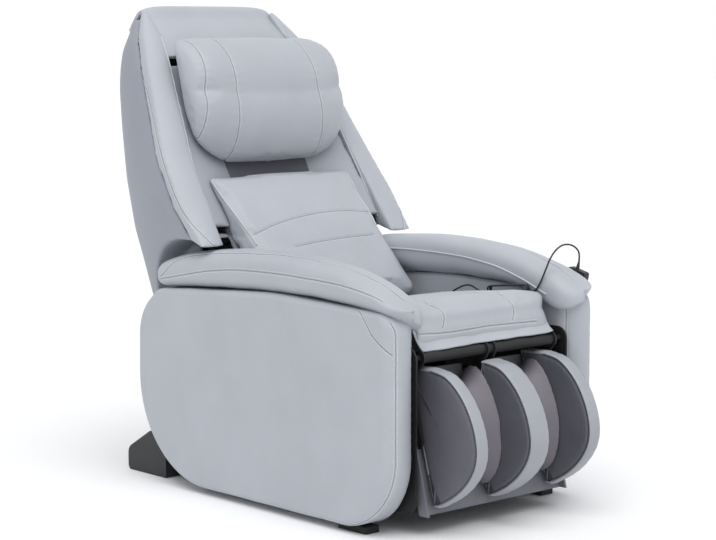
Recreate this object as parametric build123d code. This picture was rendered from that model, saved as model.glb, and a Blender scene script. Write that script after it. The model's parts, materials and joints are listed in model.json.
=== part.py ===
"""Upholstered massage armchair: steel base, two box arms, reclining back with a roller carriage, lifting calf rest.

Millimetres. The origin is on the floor, midway between the arms. The chair faces -Y and +Z is up, so the sitter's left
arm, which holds the handset, is on the +X side. Three tilted frames carry the moving groups: the seat, the back and the
roller track, each with its own Y pointing rearward and its own Z pointing up along the group.
"""

import math
import os

from build123d import *

# Fits and walls that many pieces share
RUN_FIT = 0.05
SEAT_GAP = 0.3
CUT_OVER = 2.0
SHEET_STEEL = 4.0
TUBE_SIDE = 30.0
TUBE_WALL = 2.0
FLOOR = 0.0

# Arms, seen from the side: Y runs rearward, Z up
ARM_INNER_X = 228.0
ARM_BAND_WIDTH = 60.0
ARM_PAD_THICK = 22.0
ARM_FRONT_Y = -478.0
ARM_REAR_Y = 376.0
ARM_BOTTOM_Z = 14.0
ARM_SEAM_FRONT_Z = 466.0
ARM_SEAM_CROWN_Z = 475.0
ARM_SEAM_REAR_Y = 305.0
ARM_SEAM_REAR_Z = 452.0
ARM_SHOULDER_Z = 388.0
ARM_FRONT_RADIUS = 155.0
ARM_REAR_RADIUS = 236.0
ARM_SHOULDER_RADIUS = 110.0
ARM_BAND_THICK = 6.0
ARM_PAD_EDGE = 9.0

# Bolster on top of each arm
BOLSTER_INNER_X = 205.0
BOLSTER_OUTER_X = 309.0
BOLSTER_CROWN = 24.0
BOLSTER_BULGE = 9.0
BOLSTER_REAR_Y = 325.0
BOLSTER_NOSE_Y = -486.0
BOLSTER_HEIGHT = 88.0
BOLSTER_LIP = 56.0
# Share of the run from nose to rear, share of the height above the seam, share of the lip at the inner edge
BOLSTER_STATION_SHARES = (
    (0.0, 0.10, 0.85),
    (0.015, 0.20, 0.95),
    (0.050, 0.34, 1.0),
    (0.113, 0.59, 0.66),
    (0.227, 0.80, 0.10),
    (0.386, 0.96, 0.0),
    (0.551, 1.0, 0.0),
    (0.761, 0.95, 0.0),
    (0.905, 0.82, 0.0),
    (0.985, 0.62, 0.0),
    (1.0, 0.40, 0.0),
)

# Side plates and cross tubes of the base
PLATE_FRONT_Y = -462.0
PLATE_REAR_Y = 330.0
PLATE_BOTTOM_Z = 45.0
PLATE_TOP_Z = 392.0
PLATE_BACK_TOP_Z = 250.0
PLATE_CORNER = 28.0
PLATE_HOLE_RADIUS = 46.0
PLATE_HOLE_Z = 190.0
PLATE_HOLE_PITCH = 190.0
LOW_TUBE_FRONT_Y = -330.0
LOW_TUBE_REAR_Y = 270.0
LOW_TUBE_Z = 60.0
MID_TUBE_Y = -200.0
MID_TUBE_Z = 180.0

# Seat, in its own tilted frame at the front lower edge of the pad
SEAT_FRONT_Y = -415.0
SEAT_FRONT_Z = 412.0
SEAT_TILT = 7.0
SEAT_HALF_WIDTH = 199.0
SEAT_BOARD_THICK = 17.0
SEAT_BOARD_LENGTH = 480.0
SEAT_CUSHION_THICK = 52.0
SEAT_CUSHION_LENGTH = 462.0
SEAT_CUSHION_NOSE = 12.0
SEAT_CROWN = 16.0
SEAT_CREST_AT = 150.0
SEAT_NOSE_HEIGHT = 60.0
SEAT_TAIL_HEIGHT = 46.0
SEAT_SKIRT_THICK = 3.0
SEAT_SKIRT_DROP = 28.0
SEAT_TUBE_FRONT = 62.0
SEAT_TUBE_REAR = 425.0
# Radii of the pad's corners from the side: nose below and above, crest, rear above and below
SEAT_CUSHION_RADII = [5.0, 26.0, 900.0, 20.0, 5.0]
SEAT_CUSHION_EDGE = 12.0
APRON_THICK = 6.0
APRON_DEPTH = 43.0
APRON_SET_BACK = 15.0
APRON_HALF_WIDTH = 195.0
LATCH_LEFT_X = 5.0
LATCH_RIGHT_X = 91.0
LATCH_HEIGHT = 20.0
LATCH_SHEET = 2.5
LATCH_LIP = 9.0
LATCH_TONGUE = 26.0

# Main joints
RECLINE_Y = 200.0
RECLINE_Z = 360.0
LIFT_Y = -440.0
LIFT_Z = 367.0
RECLINE_PIN_RADIUS = 10.0
RECLINE_PIN_REACH = 38.0
LIFT_PIN_RADIUS = 6.0
LIFT_PIN_REACH = 30.0

# Back, in its own tilted frame at the recline pin
BACK_TILT = 14.0
BACK_HEIGHT = 764.0
BACK_HALF_WIDTH = 324.0
BACK_DEPTH = 271.0
# Share of the height, half width at the seam, depth of the seam, depth of the rear, half width of the rear corner
SHELL_STATION_SHARES = (
    (0.139, 0.945, -0.420, 0.897, 0.617),
    (0.268, 0.963, -0.273, 0.952, 0.617),
    (0.368, 0.972, -0.133, 0.981, 0.630),
    (0.518, 0.935, 0.044, 0.978, 0.636),
    (0.664, 0.867, 0.162, 0.938, 0.630),
    (0.809, 0.799, 0.273, 0.882, 0.620),
    (0.910, 0.704, 0.399, 0.775, 0.600),
    (0.984, 0.599, 0.458, 0.528, 0.550),
)
SHELL_REAR_CROWN = 10.0
SHELL_SIDE_BULGE = 16.0
SHELL_WALL = 12.0
SHELL_FLOOR = 10.0
NECK_HALF_WIDTH = 198.0
NECK_FRONT_DEPTH = 34.0
NECK_REAR_DEPTH = 250.0
NECK_BOTTOM = 60.0
NECK_WALL = 10.0
NECK_CORNER = 20.0
ARM_CLEARANCE_RADIUS = 209.0
# Share of the height, inner and outer half width, depth of the inner and of the outer edge
WING_STATION_SHARES = (
    (0.225, 0.781, 0.981, -0.450, -0.450),
    (0.368, 0.765, 1.0, -0.303, -0.266),
    (0.518, 0.740, 0.963, -0.140, -0.089),
    (0.664, 0.692, 0.895, -0.030, 0.030),
    (0.809, 0.640, 0.827, 0.096, 0.140),
    (0.910, 0.571, 0.731, 0.244, 0.284),
    (1.0, 0.568, 0.617, 0.406, 0.413),
)
WING_THICK = 36.0
WING_TOP_THICK = 10.0
WING_EDGE_STEP = 9.0
WING_CROWN = 8.0
LINER_HALF_WIDTH = 120.0
LINER_THICK = 14.0
LINER_EDGE_SET = 9.0
# Share of the back's height and of its depth, from the seat up to the pillow
LINER_STATION_SHARES = (
    (0.079, -0.472),
    (0.170, -0.373),
    (0.290, -0.222),
    (0.368, -0.122),
    (0.518, 0.0),
    (0.664, 0.063),
    (0.809, 0.137),
)
LINER_LOW_STATIONS = 3
LINER_LOW_HALF_WIDTH = 190.0
HOOD_HALF_WIDTH = 180.0
HOOD_THICK = 8.0
# Share of the back's depth and of its height, from behind the pillow over the top
HOOD_LINE_SHARES = (
    (0.151, 0.838),
    (0.258, 0.903),
    (0.391, 0.969),
    (0.458, 1.013),
    (0.554, 1.002),
    (0.672, 0.966),
)
PILLOW_HALF_WIDTH = 222.0
PILLOW_LOW = 366.0
PILLOW_HIGH = 680.0
PILLOW_BACK_LOW = -14.0
PILLOW_BACK_HIGH = 20.0
PILLOW_DEPTH = 92.0
# Flats that the trough's sloping side and the wing press into the pillow: a point of each and the way it faces
PILLOW_FLATS = [
    ((222.0, -38.0, 366.0), (0.2613, 1.0, -0.2574)),
    ((222.0, -6.0, 366.0), (1.0, 1.0, 0.0)),
]
# Share of the half width, of the depth, and of the height lost below and above
PILLOW_STATION_SHARES = (
    (-1.0, 0.52, 0.20, 0.07),
    (-0.985, 0.70, 0.16, 0.05),
    (-0.93, 0.86, 0.12, 0.03),
    (-0.75, 0.97, 0.05, 0.01),
    (-0.35, 1.0, 0.0, 0.0),
    (0.35, 1.0, 0.0, 0.0),
    (0.75, 0.97, 0.05, 0.01),
    (0.93, 0.86, 0.12, 0.03),
    (0.985, 0.70, 0.16, 0.05),
    (1.0, 0.52, 0.20, 0.07),
)
CUSHION_TILT = 44.7
CUSHION_FOOT_Y = -26.0
CUSHION_FOOT_Z = 441.0
CUSHION_HALF_WIDTH = 212.0
CUSHION_HEIGHT = 374.0
CUSHION_THICK = 56.0
CUSHION_CROWN = 16.0
# Share of the height, of the thickness, of the crown and of the half width
CUSHION_STATION_SHARES = (
    (0.0, 0.34, 0.2, 0.900),
    (0.035, 0.66, 0.6, 0.935),
    (0.12, 0.95, 0.9, 0.948),
    (0.40, 0.95, 1.0, 0.952),
    (0.66, 0.80, 1.0, 0.966),
    (0.86, 0.56, 0.8, 0.994),
    (0.97, 0.36, 0.5, 1.0),
    (1.0, 0.20, 0.2, 0.985),
)

# Roller track, in its own tilted frame at the recline pin
TRACK_TILT = 26.0
RAIL_OUTER_X = 181.0
RAIL_INNER_X = 150.0
RAIL_WEB = 3.0
RAIL_FRONT = 30.0
RAIL_REAR = 58.0
RAIL_LOW = 24.0
RAIL_HIGH = 640.0
GUSSET_RADIUS = 22.0
GUSSET_HIGH = 120.0
HUB_OUTER_X = 214.0
HUB_RADIUS = 20.0
TORQUE_BAR_RADIUS = 14.0
BAR_SIDE = 24.0
LOW_BAR_LEVEL = 70.0
HIGH_BAR_LEVEL = 586.0
BAR_SET_BACK = 62.0
BAR_HALF_WIDTH = 170.0

SCREW_RADIUS = 7.0
SCREW_DEPTH = 75.0
SCREW_NECK_RADIUS = 5.0

CARRIAGE_LEVEL = 372.0
CARRIAGE_HALF_WIDTH = 140.0
CARRIAGE_HALF_HEIGHT = 58.0
CARRIAGE_PLATE = 5.0
CARRIAGE_PLATE_DEPTH = 36.0
GUIDE_HEIGHT = 26.0
GUIDE_PLAY = 0.8
CHEEK_X = 110.0
CHEEK_THICK = 5.0
CHEEK_HALF_HEIGHT = 44.0
CHEEK_NOSE_RADIUS = 15.0
ARM_SHAFT_RADIUS = 8.0
KNEAD_DEPTH = 18.0
KNEAD_LEVEL = -29.0
KNEAD_RADIUS = 6.0
KNEAD_BOSS_RADIUS = 9.0
KNEAD_BOSS_OFFSET = 2.4
KNEAD_BOSS_WIDTH = 16.0
KNEAD_WHEEL_RADIUS = 14.0
KNEAD_WHEEL_WIDTH = 7.0
KNEAD_OVERHANG = 12.0
NUT_HALF_WIDTH = 18.0
NUT_HALF_HEIGHT = 15.0
MOTOR_RADIUS = 24.0
MOTOR_LENGTH = 78.0
MOTOR_X = 34.0
MOTOR_DEPTH = 66.0
MOTOR_LEVEL = 26.0
GEARBOX_WIDTH = 30.0

ROLLER_ARM_X = 72.0
ROLLER_ARM_THICK = 9.0
ROLLER_ARM_WIDTH = 22.0
ROLLER_HUB_RADIUS = 16.0
ROLLER_HUB_WIDTH = 24.0
ROLLER_RADIUS = 30.0
ROLLER_WIDTH = 26.0
ROLLER_DEPTH = -26.0
ROLLER_LEVEL = 62.0
ROLLER_STUD_RADIUS = 6.0
ROLLER_EDGE = 9.0

# Calf rest
TRAY_HALF_WIDTH = 211.0
TRAY_TOP_Y = -389.0
TRAY_TOP_Z = 332.0
TRAY_BOTTOM_Y = -465.0
TRAY_BOTTOM_Z = 42.0
TRAY_THICK = 10.0
TRAY_RIM = 16.0
TRAY_RIM_THICK = 5.0
TRAY_NOTCH_HALF = 25.0
TRAY_NOTCH_BOTTOM_Z = 281.0
LOBE_TOP_Z = 346.0
LOBE_TOP_FRONT_Y = -456.0
LOBE_SHOULDER = (-555.0, 297.0)
LOBE_FRONT = (-600.0, 200.0)
LOBE_KNEE = (-566.0, 128.0)
LOBE_HEEL = (-484.0, 58.0)
SIDE_LOBE_INNER_X = 152.0
SIDE_LOBE_OUTER_X = 188.0
MIDDLE_LOBE_HALF = 30.0
LOBE_EDGE = 7.0
MIDDLE_LOBE_STEP_Y = -450.0
CALF_AXIS_Y = -452.0
CALF_AXIS_Z = 198.0
CALF_RIM_RADIUS = 116.0
CALF_FLOOR_RADIUS = 84.0
CALF_GAP = 2.0
FOOT_ARM_X = 196.0
FOOT_ARM_THICK = 4.0
FOOT_TUBE_RADIUS = 12.0
FOOT_HUB_RADIUS = 17.0
FOOT_ARM_LOW_Z = 190.0
FOOT_ARM_WIDTH = 26.0

# Actuators: rear pins, lever pins and their open eyes
LIFT_LEVER = 50.0
LIFT_LEVER_ANGLE = 23.5
LIFT_REAR_Y = 0.0
LIFT_REAR_Z = 285.0
LIFT_EYE_OFFSET = (-1.9, -4.7)
RECLINE_LEVER = 72.0
RECLINE_LEVER_ANGLE = 21.0
RECLINE_FRONT_Y = -170.0
RECLINE_FRONT_Z = 200.0
RECLINE_EYE_OFFSET = (0.6, -2.5)
RECLINE_ACTUATOR_X = -80.0
LEVER_PIN_RADIUS = 5.0
EYE_PLAY = 6.6
EYE_WALL = 6.0
EYE_WIDTH = 14.0
EAR_THICK = 4.0
EAR_GAP = 18.0
EAR_RADIUS = 12.0
ACTUATOR_TUBE_RADIUS = 16.0
ACTUATOR_BORE_RADIUS = 10.0
ACTUATOR_SHOULDER = 2.5
ACTUATOR_GEARBOX = 62.0
ACTUATOR_GEARBOX_HALF = 20.0
ACTUATOR_MOTOR_RADIUS = 19.0
ACTUATOR_MOTOR_LENGTH = 96.0
LIFT_TUBE_LENGTH = 250.0
RECLINE_TUBE_LENGTH = 240.0
ROD_INSIDE = 90.0

# Things inside and behind the base
CONTROL_BOX = (130.0, 100.0, 62.0)
CONTROL_BOX_X = -150.0
PUMP_BODY = (112.0, 84.0, 58.0)
PUMP_X = 120.0
PUMP_HEAD_RADIUS = 24.0
PUMP_HEAD_HEIGHT = 16.0
PUMP_NIPPLE_RADIUS = 4.0
COVER_THICK = 8.0
COVER_TOP_Z = 246.0
COVER_BOTTOM_Z = 30.0
COVER_HALF_WIDTH = 226.0
COVER_CORNER = 18.0
COVER_SLOT_WIDTH = 90.0
COVER_SLOT_HEIGHT = 5.0
COVER_SLOT_PITCH = 14.0
COVER_SLOT_COUNT = 6
COVER_SLOT_Z = 130.0
COVER_SLOT_X = -60.0
INLET_X = 110.0
INLET_Z = 150.0
INLET_WIDTH = 28.0
INLET_HEIGHT = 22.0
INLET_DEPTH = 5.0
INLET_RIM = 4.0
INLET_PIN = 2.0
ROCKER_X = 150.0
ROCKER_WIDTH = 13.0
ROCKER_HEIGHT = 20.0
ROCKER_DEPTH = 5.0
ROCKER_PROUD = 2.5
ROCKER_REST_ANGLE = 8.0
ROCKER_PLAY = 0.4

HOUSING_INNER_X = 176.0
HOUSING_OUTER_X = 262.0
HOUSING_REAR_Y = 484.0
HOUSING_TOP_Z = 104.0
HOUSING_TOP_RUN = 58.0
HOUSING_EDGE = 12.0
WHEEL_Y = 462.0
WHEEL_Z = 35.0
WHEEL_RADIUS = 27.0
WHEEL_WIDTH = 24.0
WHEEL_X = 228.0
WHEEL_AXLE_RADIUS = 4.0
WHEEL_PLAY = 2.0
WHEEL_EDGE = 5.0
FOOT_LENGTH = 87.0
FOOT_WIDTH = 40.0
FOOT_Y = -330.0
FOOT_X = 266.0
FOOT_EDGE = 4.0

# Handset clipped to the outside of the left arm, leaning back; its own Z runs up along it, from its head
HANDSET_Y = -410.7
HANDSET_Z = 506.0
HANDSET_LEAN = 14.0
HANDSET_WIDTH = 50.0
HANDSET_LENGTH = 118.0
HANDSET_THICK = 16.0
HANDSET_EDGE = 5.0
HANDSET_BEZEL = 1.2
CLIP_THICK = 4.0
CLIP_WIDTH = 34.0
CLIP_HEIGHT = 64.0
CLIP_TOP = 22.0
CLIP_LIP = 5.0
RELIEF_OFFSET = 5.0
RELIEF_LENGTH = 16.0
RELIEF_RADIUS = 4.5
RELIEF_TIP = 2.4
BUTTON_RADIUS = 6.0
BUTTON_PROUD = 1.5
BUTTON_DEPTH = 4.0
BUTTON_PLAY = 0.25
BUTTON_DROP = 20.0
KEY_DROP = 52.0
KEY_WIDTH = 12.0
KEY_HEIGHT = 24.0
KEY_PIVOT_DEPTH = 3.0
KEY_PLAY = 0.5

# The handset's cord: over the arm, into a tied hank of flattened turns beside the seat, then on to the seat board
CORD_DIAMETER = 4.0
HANK_LEFT_X = 200.0
HANK_FRONT = (-370.0, 471.0)
HANK_REAR = (-268.0, 459.5)
HANK_TURN_RADIUS = 8.0
HANK_STEP = 4.8
HANK_LOOPS = 3
CORD_OVER_ARM = [
    (322.0, -409.72, 522.73),
    (320.5, -413.5, 541.5),
    (308.0, -414.0, 556.0),
    (287.0, -414.0, 565.0),
    (262.0, -415.0, 566.0),
    (238.0, -417.0, 557.0),
    (219.0, -418.0, 540.0),
    (208.0, -416.0, 517.0),
    (202.0, -409.0, 493.0),
    (200.2, -399.0, 474.0),
    (200.0, -389.0, 465.196),
    (200.0, -374.9, 463.503),
]
CORD_TO_SEAT = [
    (185.6, -264.9, 451.1),
    (185.6, -249.0, 449.404),
    (188.0, -226.0, 456.5),
    (194.0, -203.0, 462.5),
    (199.0, -178.0, 461.0),
    (201.5, -154.0, 451.5),
    (205.0, -131.0, 441.0),
    (211.0, -110.0, 428.0),
    (214.0, -92.0, 410.0),
    (213.5, -80.0, 389.0),
    (209.5, -75.0, 374.0),
    (200.4, -74.0, 364.5),
]


def block(x0, x1, y0, y1, z0, z1):
    """A box given by its six faces."""
    size = (abs(x1 - x0), abs(y1 - y0), abs(z1 - z0))
    return Pos((x0 + x1) / 2, (y0 + y1) / 2, (z0 + z1) / 2) * Box(*size)


def side_face(points, radii=None):
    """A face in the YZ plane from corner points, each corner rounded where radii are given."""
    closed = [(p[0], p[1]) for p in points]
    if radii is None:
        return make_face(Plane.YZ * Polyline(*closed, close=True))
    return make_face(Plane.YZ * FilletPolyline(*closed, radius=radii, close=True))


def across(face, x0, x1):
    """A YZ face drawn out along X from x0 to x1."""
    return extrude(Pos(min(x0, x1), 0, 0) * face, amount=abs(x1 - x0), dir=(1, 0, 0))


def x_rod(y, z, radius, x0, x1):
    """A round bar along X."""
    return Pos((x0 + x1) / 2, y, z) * Rot(0, 90, 0) * Cylinder(radius, abs(x1 - x0))


def z_rod(x, y, radius, z0, z1):
    """A round bar along Z."""
    return Pos(x, y, (z0 + z1) / 2) * Cylinder(radius, abs(z1 - z0))


def y_tube(y, z, rotation, x_half):
    """A square steel tube along X, centred on y and z and turned about X."""
    outer = Box(2 * x_half, TUBE_SIDE, TUBE_SIDE)
    bore = Box(2 * x_half + CUT_OVER, TUBE_SIDE - 2 * TUBE_WALL, TUBE_SIDE - 2 * TUBE_WALL)
    return Pos(0, y, z) * Rot(rotation, 0, 0) * (outer - bore)


def mirrored(shape, side):
    """The shape for the +X side, or its mirror image for the other side."""
    return shape if side > 0 else mirror(shape, about=Plane.YZ)


def back_place():
    return Pos(0, RECLINE_Y, RECLINE_Z) * Rot(-BACK_TILT, 0, 0)


def track_place():
    return Pos(0, RECLINE_Y, RECLINE_Z) * Rot(-TRACK_TILT, 0, 0)


def seat_place():
    return Pos(0, SEAT_FRONT_Y, SEAT_FRONT_Z) * Rot(-SEAT_TILT, 0, 0)


def arm_outline(inset):
    """The arm's outline from the side, moved inward by inset, with the seam's arc along its top."""
    front = ARM_FRONT_Y + inset
    rear = ARM_REAR_Y - inset
    bottom = ARM_BOTTOM_Z + inset
    top_front = (front, ARM_SEAM_FRONT_Z - inset)
    top_rear = (ARM_SEAM_REAR_Y - inset, ARM_SEAM_REAR_Z - inset)
    top_middle = ((front + ARM_SEAM_REAR_Y) / 2, ARM_SEAM_CROWN_Z - inset)
    sides = FilletPolyline(
        top_rear,
        (rear, ARM_SHOULDER_Z - inset),
        (rear, bottom),
        (front, bottom),
        top_front,
        radius=[ARM_SHOULDER_RADIUS - inset, ARM_REAR_RADIUS - inset, ARM_FRONT_RADIUS - inset],
    )
    top = ThreePointArc(top_front, top_middle, top_rear)
    return slice_face(Plane.YZ, [*sides.edges(), top])


def bolster_section(y, top, lip, outer_low):
    """One slice across the bolster: a slanted base line and three arcs."""
    outer = BOLSTER_OUTER_X - BOLSTER_BULGE
    inner = BOLSTER_INNER_X + BOLSTER_BULGE
    shoulder = max(top - BOLSTER_CROWN, (top + outer_low) / 2)
    plane = Plane(origin=(0, y, 0), x_dir=(1, 0, 0), z_dir=(0, -1, 0))
    return slice_face(
        plane,
        [
            ThreePointArc((outer, outer_low), (BOLSTER_OUTER_X, (outer_low + shoulder) / 2), (outer, shoulder)),
            ThreePointArc((outer, shoulder), ((outer + inner) / 2, top), (inner, shoulder)),
            ThreePointArc((inner, shoulder), (BOLSTER_INNER_X, (outer_low - lip + shoulder) / 2), (inner, outer_low - lip)),
            Line((inner, outer_low - lip), (outer, outer_low)),
        ],
    )


def slice_face(plane, edges):
    """A face in the given plane from edges drawn in its own X and Y."""
    return make_face([plane * edge for edge in edges])


def arm_seam_height(y):
    """Height of the seam's arc, as the outline draws it, at a place along the arm."""
    half = (ARM_SEAM_REAR_Y - ARM_FRONT_Y) / 2
    middle = (ARM_SEAM_REAR_Y + ARM_FRONT_Y) / 2
    t = max(-1.0, min(1.0, (y - middle) / half))
    ends = ARM_SEAM_FRONT_Z + (ARM_SEAM_REAR_Z - ARM_SEAM_FRONT_Z) * (t + 1) / 2
    crown = ARM_SEAM_CROWN_Z - (ARM_SEAM_FRONT_Z + ARM_SEAM_REAR_Z) / 2
    return ends + crown * (1 - t * t)


def arm_band():
    ring = arm_outline(0) - arm_outline(ARM_BAND_THICK)
    return across(ring, ARM_INNER_X, ARM_INNER_X + ARM_BAND_WIDTH)


def arm_core():
    return across(arm_outline(ARM_BAND_THICK), ARM_INNER_X, ARM_INNER_X + ARM_BAND_WIDTH)


def arm_outer_pad():
    inner = ARM_INNER_X + ARM_BAND_WIDTH
    pad = across(arm_outline(0), inner, inner + ARM_PAD_THICK)
    face = pad.faces().sort_by(Axis.X)[-1]
    return fillet(face.edges(), ARM_PAD_EDGE)


def arm_bolster():
    run = BOLSTER_REAR_Y - BOLSTER_NOSE_Y
    sections = []
    for along, height, lip in BOLSTER_STATION_SHARES:
        y = BOLSTER_NOSE_Y + along * run
        low = arm_seam_height(y)
        sections.append(bolster_section(y, low + height * BOLSTER_HEIGHT, lip * BOLSTER_LIP, low))
    return loft(sections)


def side_plate():
    """Plate inside the arm, with its lightening holes and the welded pivot pins of the back and the calf rest."""
    outline = side_face(
        [
            (PLATE_FRONT_Y, PLATE_BOTTOM_Z),
            (PLATE_FRONT_Y, PLATE_TOP_Z),
            (RECLINE_Y + PLATE_CORNER, PLATE_TOP_Z),
            (PLATE_REAR_Y, PLATE_BACK_TOP_Z),
            (PLATE_REAR_Y, PLATE_BOTTOM_Z),
        ],
        [PLATE_CORNER] * 5,
    )
    inner = ARM_INNER_X - SHEET_STEEL
    plate = across(outline, inner, ARM_INNER_X)
    middle = (PLATE_FRONT_Y + PLATE_REAR_Y) / 2
    for step in (-1, 0, 1):
        y = middle + step * PLATE_HOLE_PITCH
        plate -= x_rod(y, PLATE_HOLE_Z, PLATE_HOLE_RADIUS, inner - CUT_OVER, ARM_INNER_X + CUT_OVER)
    plate += x_rod(RECLINE_Y, RECLINE_Z, RECLINE_PIN_RADIUS, inner - RECLINE_PIN_REACH, inner)
    plate += x_rod(LIFT_Y, LIFT_Z, LIFT_PIN_RADIUS, inner - LIFT_PIN_REACH, inner)
    return plate


def link_face(*circles):
    """The flat outline of a link or ear: the hull round circles given as y, z, radius."""
    edges = [CenterArc((y, z), radius, 0, 360) for y, z, radius in circles]
    return Plane.YZ * make_hull(edges)


def ears(x, face):
    """Two equal plates either side of x, with the gap that an actuator's eye turns in."""
    near, far = EAR_GAP / 2, EAR_GAP / 2 + EAR_THICK
    return across(face, x - far, x - near) + across(face, x + near, x + far)


def ear_pin(x, y, z):
    half = EAR_GAP / 2 + EAR_THICK
    return x_rod(y, z, LEVER_PIN_RADIUS, x - half, x + half)


def cross_tubes():
    """Tubes between the side plates, with the two brackets that hold the actuators' fixed pins."""
    half = ARM_INNER_X - SHEET_STEEL
    tubes = [
        y_tube(LOW_TUBE_FRONT_Y, LOW_TUBE_Z, 0, half),
        y_tube(LOW_TUBE_REAR_Y, LOW_TUBE_Z, 0, half),
    ]
    mid = y_tube(MID_TUBE_Y, MID_TUBE_Z, 0, half)
    face = link_face(
        (RECLINE_FRONT_Y, RECLINE_FRONT_Z, EAR_RADIUS),
        (MID_TUBE_Y, MID_TUBE_Z, EAR_RADIUS),
    )
    bracket = ears(RECLINE_ACTUATOR_X, face) - block(
        -half, half, MID_TUBE_Y - TUBE_SIDE, MID_TUBE_Y + TUBE_SIDE / 2, MID_TUBE_Z - TUBE_SIDE, MID_TUBE_Z + TUBE_SIDE / 2
    )
    mid += bracket + ear_pin(RECLINE_ACTUATOR_X, RECLINE_FRONT_Y, RECLINE_FRONT_Z)
    level = -SEAT_BOARD_THICK - TUBE_SIDE / 2
    seat_front = seat_place() * y_tube(SEAT_TUBE_FRONT, level, 0, half)
    rear_place = seat_place() * Pos(0, SEAT_TUBE_REAR, level)
    seat_rear = rear_place * y_tube(0, 0, 0, half)
    centre = rear_place.position
    face = link_face((LIFT_REAR_Y, LIFT_REAR_Z, EAR_RADIUS), (centre.Y, centre.Z, EAR_RADIUS))
    hanger = ears(0, face) - rear_place * Box(2 * half, TUBE_SIDE, TUBE_SIDE)
    seat_rear += hanger + ear_pin(0, LIFT_REAR_Y, LIFT_REAR_Z)
    return Compound(children=tubes + [mid, seat_front, seat_rear])


def seat_board():
    return seat_place() * block(-SEAT_HALF_WIDTH, SEAT_HALF_WIDTH, 0, SEAT_BOARD_LENGTH, -SEAT_BOARD_THICK, 0)


def seat_cushion():
    """Crowned pad whose nose overhangs the board, with the skirt sewn to its front lower edge."""
    half, thick = SEAT_HALF_WIDTH, SEAT_CUSHION_THICK
    front = -SEAT_CUSHION_NOSE
    rear = front + SEAT_CUSHION_LENGTH
    crest = thick + SEAT_CROWN
    top_line = [(front, SEAT_NOSE_HEIGHT), (SEAT_CREST_AT, crest), (rear, SEAT_TAIL_HEIGHT)]
    side = side_face([(front, 0), *top_line, (rear, 0)], SEAT_CUSHION_RADII)
    end = slice_face(
        Plane.XZ,
        [
            Line((-half, 0), (half, 0)),
            Line((half, 0), (half, thick)),
            ThreePointArc((half, thick), (0, crest), (-half, thick)),
            Line((-half, thick), (-half, 0)),
        ],
    )
    end = fillet(end.vertices().sort_by(Axis.Z)[-2:], SEAT_CUSHION_EDGE)
    pad = across(side, -half, half) & extrude(end, amount=2 * SEAT_CUSHION_LENGTH, both=True)
    skirt_top = SEAT_CUSHION_RADII[0] + SEAT_SKIRT_THICK
    skirt = block(-half, half, front - SEAT_SKIRT_THICK, front, -SEAT_SKIRT_DROP, skirt_top)
    return seat_place() * (pad + skirt)


def front_apron():
    """Board hung under the front of the seat, with the slot that its bracket closes."""
    y0, y1 = APRON_SET_BACK, APRON_SET_BACK + APRON_THICK
    bottom = -SEAT_BOARD_THICK - APRON_DEPTH
    board = block(-APRON_HALF_WIDTH, APRON_HALF_WIDTH, y0, y1, bottom, -SEAT_BOARD_THICK)
    slot = block(LATCH_LEFT_X, LATCH_RIGHT_X, y0 - CUT_OVER, y1 + CUT_OVER, bottom - CUT_OVER, bottom + LATCH_HEIGHT)
    return seat_place() * (board - slot)


def seat_latch():
    """Bent sheet bracket in the apron's slot: a tray with turned lips and a raised tongue."""
    y0, y1 = APRON_SET_BACK - LATCH_SHEET, APRON_SET_BACK + APRON_THICK
    bottom = -SEAT_BOARD_THICK - APRON_DEPTH
    back = block(LATCH_LEFT_X, LATCH_RIGHT_X, y1 - LATCH_SHEET, y1, bottom, bottom + LATCH_HEIGHT)
    top = block(LATCH_LEFT_X, LATCH_RIGHT_X, y0, y1, bottom + LATCH_HEIGHT - LATCH_SHEET, bottom + LATCH_HEIGHT)
    lip = block(LATCH_LEFT_X, LATCH_RIGHT_X, y0, y0 + LATCH_SHEET, bottom + LATCH_HEIGHT - LATCH_LIP, bottom + LATCH_HEIGHT)
    tongue_x = LATCH_RIGHT_X - LATCH_TONGUE
    tongue = block(tongue_x, LATCH_RIGHT_X, y0, y1, bottom + LATCH_SHEET, bottom + LATCH_LIP)
    return seat_place() * (back + top + lip + tongue)


def between(stations, level):
    """Every share of a row of stations at a level between two of them, in straight lines."""
    for low, high in zip(stations, stations[1:]):
        if level <= high[0]:
            break
    t = (level - low[0]) / (high[0] - low[0])
    return [a + (b - a) * t for a, b in zip(low, high)]


def level_plane(height):
    """A slice of the back at a height, with X across and Y rearward."""
    return Plane(origin=(0, 0, height), x_dir=(1, 0, 0), z_dir=(0, 0, 1))


def shell_section(shares, wall):
    """One level of the shell's outer form, or of its hollow when wall is above zero."""
    height, seam_width, seam_depth, rear_depth, corner_width = shares
    half = seam_width * BACK_HALF_WIDTH - wall
    front = seam_depth * BACK_DEPTH - (CUT_OVER if wall else 0)
    rear = rear_depth * BACK_DEPTH - wall
    corner = corner_width * BACK_HALF_WIDTH - wall
    bulge_x = (half + corner) / 2 + SHELL_SIDE_BULGE
    bulge_y = (front + rear) / 2 + SHELL_SIDE_BULGE
    return slice_face(
        level_plane(height * BACK_HEIGHT),
        [
            Line((-half, front), (half, front)),
            ThreePointArc((half, front), (bulge_x, bulge_y), (corner, rear)),
            ThreePointArc((corner, rear), (0, rear + SHELL_REAR_CROWN), (-corner, rear)),
            ThreePointArc((-corner, rear), (-bulge_x, bulge_y), (-half, front)),
        ],
    )


def neck_face(wall):
    """Plan of the shell's neck between the arms, open to the front."""
    half = NECK_HALF_WIDTH - wall
    front = NECK_FRONT_DEPTH - (CUT_OVER if wall else 0)
    rear = NECK_REAR_DEPTH - wall
    radius = NECK_CORNER - wall
    outline = FilletPolyline((half, front), (half, rear), (-half, rear), (-half, front), radius=radius)
    return level_plane(NECK_BOTTOM) * make_face([*outline.edges(), Line((-half, front), (half, front))])


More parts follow.
